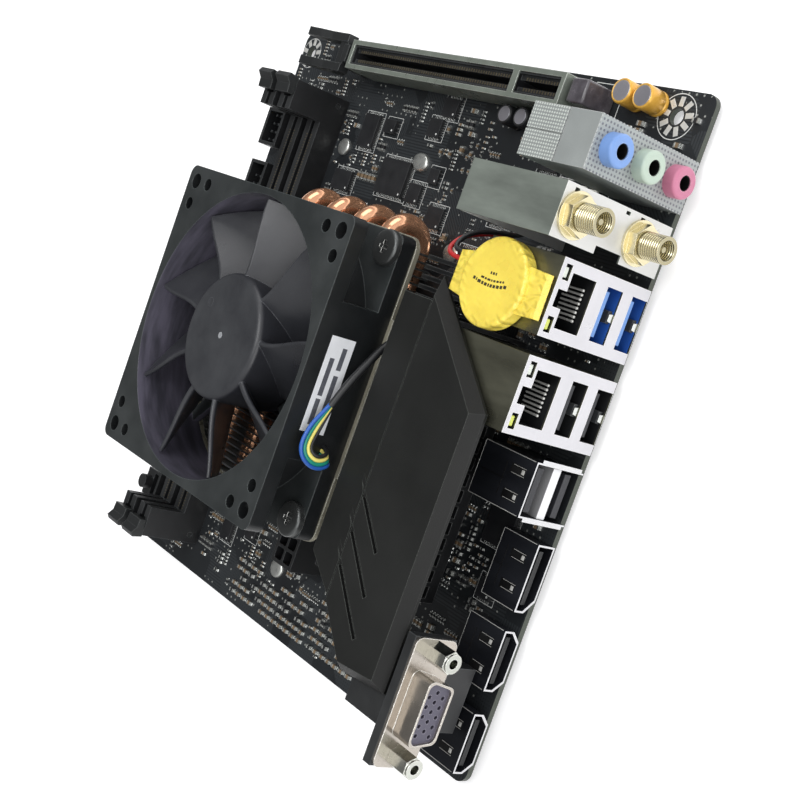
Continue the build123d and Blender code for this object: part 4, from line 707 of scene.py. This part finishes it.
# Power sockets, pin headers, low ports, capacitors, heat sink feet and expansion latch.
blocked += [(-129, 146.4, -73, 157.6), (-70, 143.6, -37, 154), (-33, 143, -20, 154),
            (-150, 143.4, -129, 154), (-141, 61.6, -130, 72.6), (-131, -12, -102, 1.6),
            (-161, -12, -123, 2.4), (-152, 0, -134.6, 7), (-4.4, 19.8, 4.2, 27.6),
            (-1.6, 2.6, 6.3, 17), (-11.4, 41, -4.9, 54), (-18, -12, 6, -9),
            (-126.6, 22, -121.4, 30), (-69, 22, -63, 30), (-5, 117, 4, 143),
            (-24.8, 12, -20.6, 28.6)]
# Packaged circuits of the CAD model: middle x and y, width, depth and height.
CIRCUITS = [(-30.8, 92.6, 10.4, 12.6, 1.4), (-19.6, 111.0, 10.0, 7.0, 1.2),
            (-17.0, 101.4, 4.0, 5.0, 1.5), (-14.6, 82.2, 5.2, 5.4, 1.2),
            (-8.4, 78.4, 5.2, 6.0, 1.2), (-27.6, 75.6, 4.2, 4.2, 1.0),
            (-33.6, 81.6, 5.6, 5.6, 1.0), (-38.4, 69.8, 6.0, 6.6, 1.0),
            (-35.4, 115.6, 6.0, 8.4, 1.3), (-46.4, 52.4, 6.0, 6.0, 1.0),
            (-31.0, 44.0, 9.0, 9.0, 1.2), (-15.6, 34.0, 7.0, 7.0, 1.2),
            (-104.6, 6.6, 9.0, 9.0, 1.2), (-119.6, 4.4, 5.0, 5.0, 1.0),
            (-153.0, 30.0, 5.0, 6.0, 1.2), (-145.6, 112.0, 6.0, 5.0, 1.2),
            (-141.8, 100.4, 4.0, 5.0, 1.0)]


def keep_clear(x, y, half_x, half_y, margin=0.0):
    """Keep later small parts out of a rectangle about x, y."""
    blocked.append((x - half_x - margin, y - half_y - margin,
                    x + half_x + margin, y + half_y + margin))


for x, y in MOUNTING_HOLES:
    keep_clear(x, y, 4.6, 4.6)
for x, y in COOLER_SCREWS:
    keep_clear(x, y, 5, 5)
for x, y, width, depth, _ in CIRCUITS:
    keep_clear(x, y, width / 2, depth / 2, 1.1)
# The part of the board that small parts may stand on.
PARTS_X, PARTS_Y = (-162.6, 5.4), (-9.2, 158.8)


def is_free(x, y, half_x, half_y):
    """Whether a rectangle about x, y is on the board and clear of what is there."""
    left, front, right, back = x - half_x, y - half_y, x + half_x, y + half_y
    if not (PARTS_X[0] < left and right < PARTS_X[1] and PARTS_Y[0] < front and back < PARTS_Y[1]):
        return False
    return not any(right > a and left < c and back > b and front < d for a, b, c, d in blocked)


# ---- Oval silver cans of the oscillators: middle, half widths and height ----
CANS = [(-24.7, 83.4, 2.6, 3.4, 1.1), (-25.8, 120.9, 2.6, 2.6, 0.8), (-146.3, 83.6, 2.8, 2.8, 0.9),
        (-46.0, 58.0, 2.6, 3.2, 1.2)]
CAN_PROFILE = [(1.0, 0.0), (1.0, 0.5), (0.94, 0.8), (0.8, 1.0), (0.3, 1.04)]
cans = bmesh.new()
for x, y, across, along, height in CANS:
    add_turned(cans, (x, y), [(part, BOARD_TOP + height * rise) for part, rise in CAN_PROFILE],
               28, (across, along), math.radians(-12))
    keep_clear(x, y, across, along, 0.8)
make_piece("oscillator_cans", cans, "pad_silver", smooth=60)

# ---- Surface-mounted parts ----
chip_bodies, ceramic_bodies, end_caps, fillets = (bmesh.new() for _ in range(4))


def small_part(x, y, length, width, height, turned, ceramic):
    """A chip part: its body, two metal ends and the solder at each end."""
    half, cap, solder = length / 2, length * 0.24, 0.35

    def ranges(start, stop, spare):
        if turned:
            return (x - width / 2 + spare, x + width / 2 - spare), (y + start, y + stop)
        return (x + start, x + stop), (y - width / 2 + spare, y + width / 2 - spare)

    add_slab(ceramic_bodies if ceramic else chip_bodies, *ranges(-half + cap, half - cap, 0.02),
             (BOARD_TOP, BOARD_TOP + height - 0.03))
    for start, stop in ((-half, -half + cap), (half - cap, half)):
        add_slab(end_caps, *ranges(start, stop, 0.0), (BOARD_TOP, BOARD_TOP + height))
    for start, stop in ((-half - solder, -half), (half, half + solder)):
        add_slab(fillets, *ranges(start, stop, -0.05), (BOARD_TOP, BOARD_TOP + height * 0.45),
                 inset=0.12)


def place_part(x, y, length, width, height, turned, ceramic):
    """Set a small part where there is room for it, and leave it out elsewhere."""
    half_x, half_y = length / 2 + 0.5, width / 2 + 0.2
    if turned:
        half_x, half_y = half_y, half_x
    if is_free(x, y, half_x, half_y):
        small_part(x, y, length, width, height, turned, ceramic)
        keep_clear(x, y, half_x, half_y)


# Regular banks beside the fan, at the board's left edge and between the rear sockets:
# x and y span, x and y step, length and width of a part, and whether it is turned.
BANKS = [((-159.5, -136.0), (40.0, 62.0), 2.6, 3.1, 1.9, 1.0, True),
         ((-160.0, -147.5), (64.0, 104.0), 2.4, 3.3, 1.9, 1.0, True),
         ((-146.0, -132.0), (28.0, 40.0), 1.9, 2.8, 1.5, 0.8, True),
         ((-118.0, -100.0), (8.0, 16.0), 1.6, 2.4, 1.1, 0.6, True),
         ((-158.0, -146.0), (34.0, 42.0), 2.1, 3.0, 1.6, 0.8, True),
         ((-24.0, -14.0), (58.0, 70.0), 1.8, 2.6, 1.1, 0.6, False),
         ((-19.0, -8.0), (58.0, 64.0), 1.8, 2.6, 1.1, 0.6, True)]
for x_span, y_span, step_x, step_y, length, width, turned in BANKS:
    for column in range(int((x_span[1] - x_span[0]) / step_x)):
        for row in range(int((y_span[1] - y_span[0]) / step_y)):
            if rng.random() < 0.86:
                place_part(x_span[0] + step_x * column, y_span[0] + step_y * row, length, width,
                           width * 0.8, turned, rng.random() < 0.6)
# Short rows of equal parts, as a layout program sets them beside each circuit. The
# smallest size is listed twice, so it comes up twice as often.
SIZES = [(1.0, 0.5, 0.4), (1.6, 0.8, 0.6), (2.0, 1.25, 0.9), (1.0, 0.5, 0.4)]
ROW_COUNT, ROW_GAP = 1300, 0.55
for _ in range(ROW_COUNT):
    x, y = rng.uniform(-161, 4), rng.uniform(-8, 158)
    length, width, height = rng.choice(SIZES)
    turned, ceramic = rng.random() < 0.5, rng.random() < 0.55
    step = width + ROW_GAP
    for index in range(rng.choice((1, 2, 3, 4, 5, 6))):
        place_part(x + (step * index if turned else 0), y + (0 if turned else step * index),
                   length, width, height, turned, ceramic)
make_piece("chip_resistors", chip_bodies, "chip")
make_piece("chip_capacitors", ceramic_bodies, "tan_ceramic")
make_piece("chip_ends", end_caps, "pad_silver")
make_piece("chip_solder", fillets, "solder")

# ---- Legs and corner marks of the packaged circuits ----
LEG_Z = (BOARD_TOP, BOARD_TOP + 0.2)
legs, marks = bmesh.new(), bmesh.new()
for x, y, width, depth, height in CIRCUITS:
    pitch = 0.5 if width > 8 else 0.65 if width > 4.5 else 1.27
    sides = ((1, 0), (-1, 0), (0, 1), (0, -1)) if pitch < 1 else ((0, 1), (0, -1))
    for side_x, side_y in sides:
        count = int(((depth if side_x else width) - 1.0) / pitch)
        for index in range(count + 1):
            along = (index - count / 2) * pitch
            if side_x:
                edge = x + side_x * width / 2
                add_slab(legs, sorted((edge - side_x * 0.1, edge + side_x * 0.8)),
                         about(y + along, 0.13), LEG_Z)
            else:
                edge = y + side_y * depth / 2
                add_slab(legs, about(x + along, 0.13),
                         sorted((edge - side_y * 0.1, edge + side_y * 0.8)), LEG_Z)
    top = BOARD_TOP + height
    add_turned(marks, (x - width / 2 + 0.9, y - depth / 2 + 0.9),
               [(0.32, top - 0.05), (0.32, top + 0.012)], 16)
make_piece("circuit_legs", legs, "solder")
make_piece("circuit_marks", marks, "silk")

# ---- Contacts in the slots, left out at each slot's key ----
contacts = bmesh.new()
for y_start, y_stop in ((29.8, 43.8), (46.8, 115.2)):
    for index in range(int(y_stop - y_start)):
        for side in (-1, 1):
            y = y_start + index
            add_slab(contacts, about(EXPANSION_SLOT_X + side * 1.35, 0.42), (y + 0.1, y + 0.55),
                     (11.5, 11.72))
MEMORY_KEY_X = -79.0
for slot_y in MEMORY_SLOTS_Y:
    for index in range(142):
        x = -145.6 + index * 0.85
        if abs(x - MEMORY_KEY_X) > 1.6:
            for side in (-1, 1):
                add_slab(contacts, about(x, 0.18), about(slot_y + side * 1.2, 0.32), (9.5, 9.62))
make_piece("slot_contacts", contacts, "dim_gold")

# ---- Pads and printed lines round the holes and circuits ----
PRINT_Z = (BOARD_TOP - 0.01, BOARD_TOP + 0.015)
PAD_Z = (BOARD_TOP - 0.01, BOARD_TOP + 0.05)
pads, print_lines = bmesh.new(), bmesh.new()
for hole in MOUNTING_HOLES:
    add_ring(pads, hole, 3.65, 9, 1.2, 0.7, PAD_Z, 0.08)
    # The holes at the back are nearer the edge, so their printed rings are smaller.
    add_ring(print_lines, hole, 4.7 if hole[Y] > 100 else 5.5, 56, 0.11, 0.32, PRINT_Z)


def outline(x_range, y_range, half_width=0.08):
    """Printed rectangle made of four thin bars."""
    for y in y_range:
        add_slab(print_lines, x_range, about(y, half_width), PRINT_Z)
    for x in x_range:
        add_slab(print_lines, about(x, half_width), y_range, PRINT_Z)


for x, y, width, depth, _ in CIRCUITS:
    outline(about(x, width / 2 + 1.0), about(y, depth / 2 + 1.0))
outline((-79.6, -61.6), (42.0, 47.0))
outline((-26.0, -19.6), (11.6, 29.8))
outline((-128.6, -122.4), (146.4, 157.4))
outline((-150.4, -128.6), (143.6, 153.6))
outline((-5.2, 5.0), (18.8, 28.6), 0.1)
make_piece("hole_rings", pads, "tin")
make_piece("board_print", print_lines, "silk")

# ---- Capacitors: four round cans with a crimped groove, and one box ----
gold_sleeves, black_sleeves, can_tops, box_cap = (bmesh.new() for _ in range(4))
for sleeves, x, y, radius, top in ((gold_sleeves, 2.3, 13.0, 3.1, 8.6),
                                   (gold_sleeves, 2.0, 6.4, 3.1, 8.2),
                                   (black_sleeves, -8.1, 50.6, 2.6, 7.8),
                                   (black_sleeves, -8.1, 44.4, 2.6, 7.8)):
    groove = [(radius + step, BOARD_TOP + rise) for step, rise in (
        (-0.25, 0.0), (0.0, 0.4), (0.0, 1.0), (-0.3, 1.3), (0.0, 1.6))]
    rim = [(radius + step, top + rise) for step, rise in (
        (0.0, -0.35), (-0.12, -0.1), (-0.4, 0.0), (-0.55, -0.1))]
    add_turned(sleeves, (x, y), groove + rim, 40)
    add_turned(can_tops, (x, y), [(radius - 0.6, top - 0.4), (radius - 0.6, top - 0.05),
                                  (0.2, top - 0.02)], 40)
add_slab(box_cap, (-3.4, 3.2), (20.6, 26.8), (BOARD_TOP, 11.8), inset=0.25)
for piece in (make_piece("capacitor_sleeves_gold", gold_sleeves, "cap_sleeve", smooth=50),
              make_piece("capacitor_sleeves_dark", black_sleeves, "chip", smooth=50),
              make_piece("capacitor_tops", can_tops, "cap_top"),
              make_piece("box_capacitor", box_cap, "film_box", bevel=0.5)):
    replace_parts(piece, "capacitors")

# ---- Moulding marks on the fan's hub, and its dimple, pale grey as a painted highlight ----
HUB_TOP = 46.5
hub_marks, dimple_highlight = bmesh.new(), bmesh.new()
add_turned(dimple_highlight, FAN_AXIS, [(0.9, HUB_TOP), (0.85, 46.66), (0.55, 46.7), (0.3, 46.63),
                              (0.1, 46.62)], 32)
make_piece("hub_dimple_highlight", dimple_highlight, "dimple_highlight", smooth=50, body="fan_wheel")
add_turned(hub_marks, (-79.4, 91.6), [(1.3, HUB_TOP), (1.3, 46.62), (1.05, 46.62),
                                      (1.0, 46.606)], 32)
make_piece("hub_marks", hub_marks, "rotor_plastic", smooth=50, body="fan_wheel")

# ---- Fan label, with plain bars where print would be ----
label, label_bars = bmesh.new(), bmesh.new()
add_slab(label, (-98.9, -74.6), (42.02, 42.12), (35.0, 42.4))
for start, stop, z in ((-97.0, -90.4, 40.2), (-89.6, -80.0, 40.2), (-97.0, -84.0, 37.4),
                       (-82.6, -77.0, 37.4)):
    add_slab(label_bars, (start, stop), (42.0, 42.03), about(z, 0.7))
make_piece("fan_label", label, "paper")
make_piece("fan_label_bars", label_bars, "ink")

# ---- Plain bars on the battery, where print would be ----
cell_bars = bmesh.new()
for row_x, start, stop, half_width in ((-51.2, -1.6, 9.0, 0.36), (-50.0, -0.4, 7.4, 0.24),
                                       (-48.4, 2.6, 4.6, 0.3)):
    y = start
    while y < stop:
        length = rng.uniform(0.35, 1.1)
        bow = 0.025 * (y - BATTERY_AXIS[Y]) ** 2
        add_slab(cell_bars, about(row_x + bow, half_width), (y, y + length), (35.39, 35.415))
        y += length + 0.28
make_piece("battery_bars", cell_bars, "print_black")

# ---- Dark throats of the audio jacks ----
throats = bmesh.new()
for jack_z in (29.6, 18.6, 7.6):
    add_turned(throats, (-15.55, jack_z), [(1.78, -0.6), (1.78, -14.5), (1.62, -14.5),
                                           (1.6, -0.8)], 32, upright=False)
make_piece("jack_throats", throats, "jack_hole", smooth=60)

# ---- Springs, tongue blocks and contact pins in the double ports ----
springs, blocks, pins = (bmesh.new() for _ in range(3))
for port_x in DOUBLE_PORTS_X:
    for port_z in (13.0, 4.3):
        for index in range(4):
            add_slab(springs, about(port_x + (index - 1.5) * 2.5, 0.5), (-9.8, 0.6),
                     (port_z + 2.1, port_z + 2.16))
        add_slab(blocks, about(port_x, 1.5), (-10.4, -2.0), (port_z - 2.58, port_z - 1.6),
                 inset=0.1)
        add_slab(springs, (port_x - 1.1, port_x + 0.9), (-11.0, -10.5),
                 (port_z - 2.5, port_z - 1.5), inset=0.2)
    for index in range(8):
        add_turned(pins, (port_x + 1.02 * (index - 3.5), 20.35),
                   [(0.12, -9.5), (0.32, -9.35), (0.36, -9.1), (0.27, -8.7), (0.24, -3.4)], 12,
                   upright=False)
make_piece("port_springs", springs, "pad_silver")
make_piece("port_blocks", blocks, "ferrite")
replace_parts(make_piece("socket_pins", pins, "tin", smooth=60), "port_contacts")

# ---- Springs and seams on top of the low port shells ----
# Each shell's middle x, half width, top z and back y.
PORT_SHELLS = [(-91.0, 6.6, 17.2, 6.4), (-111.1, 8.3, 7.4, 0.6), (-131.7, 7.5, 7.8, 1.2),
               (-152.5, 7.5, 7.8, 1.2)]
tabs, recesses = bmesh.new(), bmesh.new()
for port_x, half_width, top_z, back_y in PORT_SHELLS:
    sunk = top_z - 0.02
    for side in (-1, 1):
        x = port_x + side * half_width * 0.45
        add_slab(recesses, about(x, 1.15), (-8.9, -4.0), (sunk, top_z + 0.01))
        for shift in (-0.95, 0.95):
            add_slab(tabs, about(x + shift, 0.05), (-8.9, -4.6), (sunk, top_z + 0.03))
        add_slab(tabs, about(x, 0.6), (-8.7, -7.6), (sunk, top_z + 0.09), inset=0.25)
        add_slab(tabs, about(port_x + side * (half_width - 0.12), 0.07), (-10.8, back_y - 0.1),
                 (sunk, top_z + 0.02))
    add_slab(tabs, about(port_x, half_width), (back_y - 0.16, back_y - 0.04),
             (sunk, top_z + 0.02))
    add_slab(recesses, about(port_x, 0.1), (-3.2, back_y - 0.3), (sunk, top_z + 0.012))
    add_slab(recesses, about(port_x, half_width * 0.6), (-2.6, -2.35), (sunk, top_z + 0.012))
make_piece("port_tabs", tabs, "tin")
make_piece("port_recesses", recesses, "jack_hole")

# ---- Lamps in the network sockets ----
for name, lamp_x, finish in (("lamp_near_clear", (-43.0, -65.2), "lamp_clear"),
                             ("lamp_far_yellow", (-54.8, -77.0), "lamp_yellow")):
    lamps = bmesh.new()
    for x in lamp_x:
        add_slab(lamps, (x - 1.3, x + 1.1), (-10.9, -9.9), (28.5, 29.8))
    make_piece(name, lamps, finish, bevel=0.2)

# ---- Underside: soldered legs of the connectors and slots ----
tails = bmesh.new()


def tail(x, y, radius):
    """A soldered leg that ends in a blunt tip below the board."""
    add_turned(tails, (x, y), [(radius * 0.35, -1.3), (radius * 0.6, -0.9), (radius, -0.05),
                               (radius, 0.01)], 10)


for slot_y in MEMORY_SLOTS_Y:
    for index in range(70):
        for shift in (-1.9, 1.9):
            tail(-145 + index * 1.75, slot_y + shift, 0.32)
for index in range(80):
    for shift in (-2.0, 2.0):
        tail(EXPANSION_SLOT_X + shift, 31 + index * 1.05, 0.32)
for column in range(12):
    for row in (-2.1, 2.1):
        tail(-101 + (column - 5.5) * 4.2, 152 + row, 0.8)
for x in DOUBLE_PORTS_X:
    for index in range(6):
        for y in (-2.0, 1.2, 4.4, 8.8):
            tail(x - 6.2 + index * 2.4, y, 0.5)
for x, *_ in PORT_SHELLS:
    for index in range(5):
        tail(x - 4 + index * 2, 1.0, 0.4)
for x in (-20.2, -11.0):
    for y in (-8, -2, 4, 8):
        tail(x, y, 0.6)
for x, y in ((2.3, 11.8), (2.3, 14.2), (2.0, 5.2), (2.0, 7.6), (-37.7, 60), (-137.7, 65),
             (-133.5, 69)):
    tail(x, y, 0.6)
make_piece("soldered_tails", tails, "solder", smooth=60)

# ---- Studio ----
floor_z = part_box("cpu_backplate")[0][Z] - 0.00002
floor_mesh = bpy.data.meshes.new("floor")
floor_mesh.from_pydata([(x, y, floor_z) for x, y in ((-2, -2), (2, -2), (2, 2), (-2, 2))],
                       [], [(0, 1, 2, 3)])
floor = bpy.data.objects.new("floor", floor_mesh)
scene.collection.objects.link(floor)
ground = Tree("floor_paper")
ground.set(Base_Color=(0.86, 0.86, 0.87, 1), Roughness=0.8, Emission_Color=(1, 1, 1, 1),
           Emission_Strength=0.42)
floor_mesh.materials.append(ground.material)

# Square lamps that look at the board's middle: name, place, side in metres and watts.
BOARD_MIDDLE = Vector((-0.08, 0.07, 0.02))
for name, spot, size, power in (("key", (0.2, -0.15, 0.9), 0.6, 4.2),
                                ("front", (-0.25, -0.85, 0.45), 0.7, 3.2),
                                ("side", (0.7, 0.1, 0.4), 0.5, 1.6)):
    light = bpy.data.lights.new(name, "AREA")
    light.size = size
    light.energy = power
    lamp = bpy.data.objects.new(name, light)
    lamp.location = spot
    lamp.rotation_euler = (BOARD_MIDDLE - Vector(spot)).to_track_quat("-Z", "Y").to_euler()
    scene.collection.objects.link(lamp)
# The room is bright in front of the connectors and dim behind the board.
world = bpy.data.worlds.new("studio")
world.use_nodes = True
room = world.node_tree
toward, along, bright = (room.nodes.new(f"ShaderNode{kind}")
                         for kind in ("TexCoord", "SeparateXYZ", "MapRange"))
room.links.new(toward.outputs["Generated"], along.inputs[0])
room.links.new(along.outputs[Y], bright.inputs[0])
for socket, value in zip(bright.inputs[1:5], (-0.6, 0.7, 0.85, 0.16)):
    socket.default_value = value
background = room.nodes["Background"]
room.links.new(bright.outputs[0], background.inputs[1])
background.inputs[0].default_value = (1, 1, 1, 1)
scene.world = world
scene.view_settings.view_transform = "Standard"
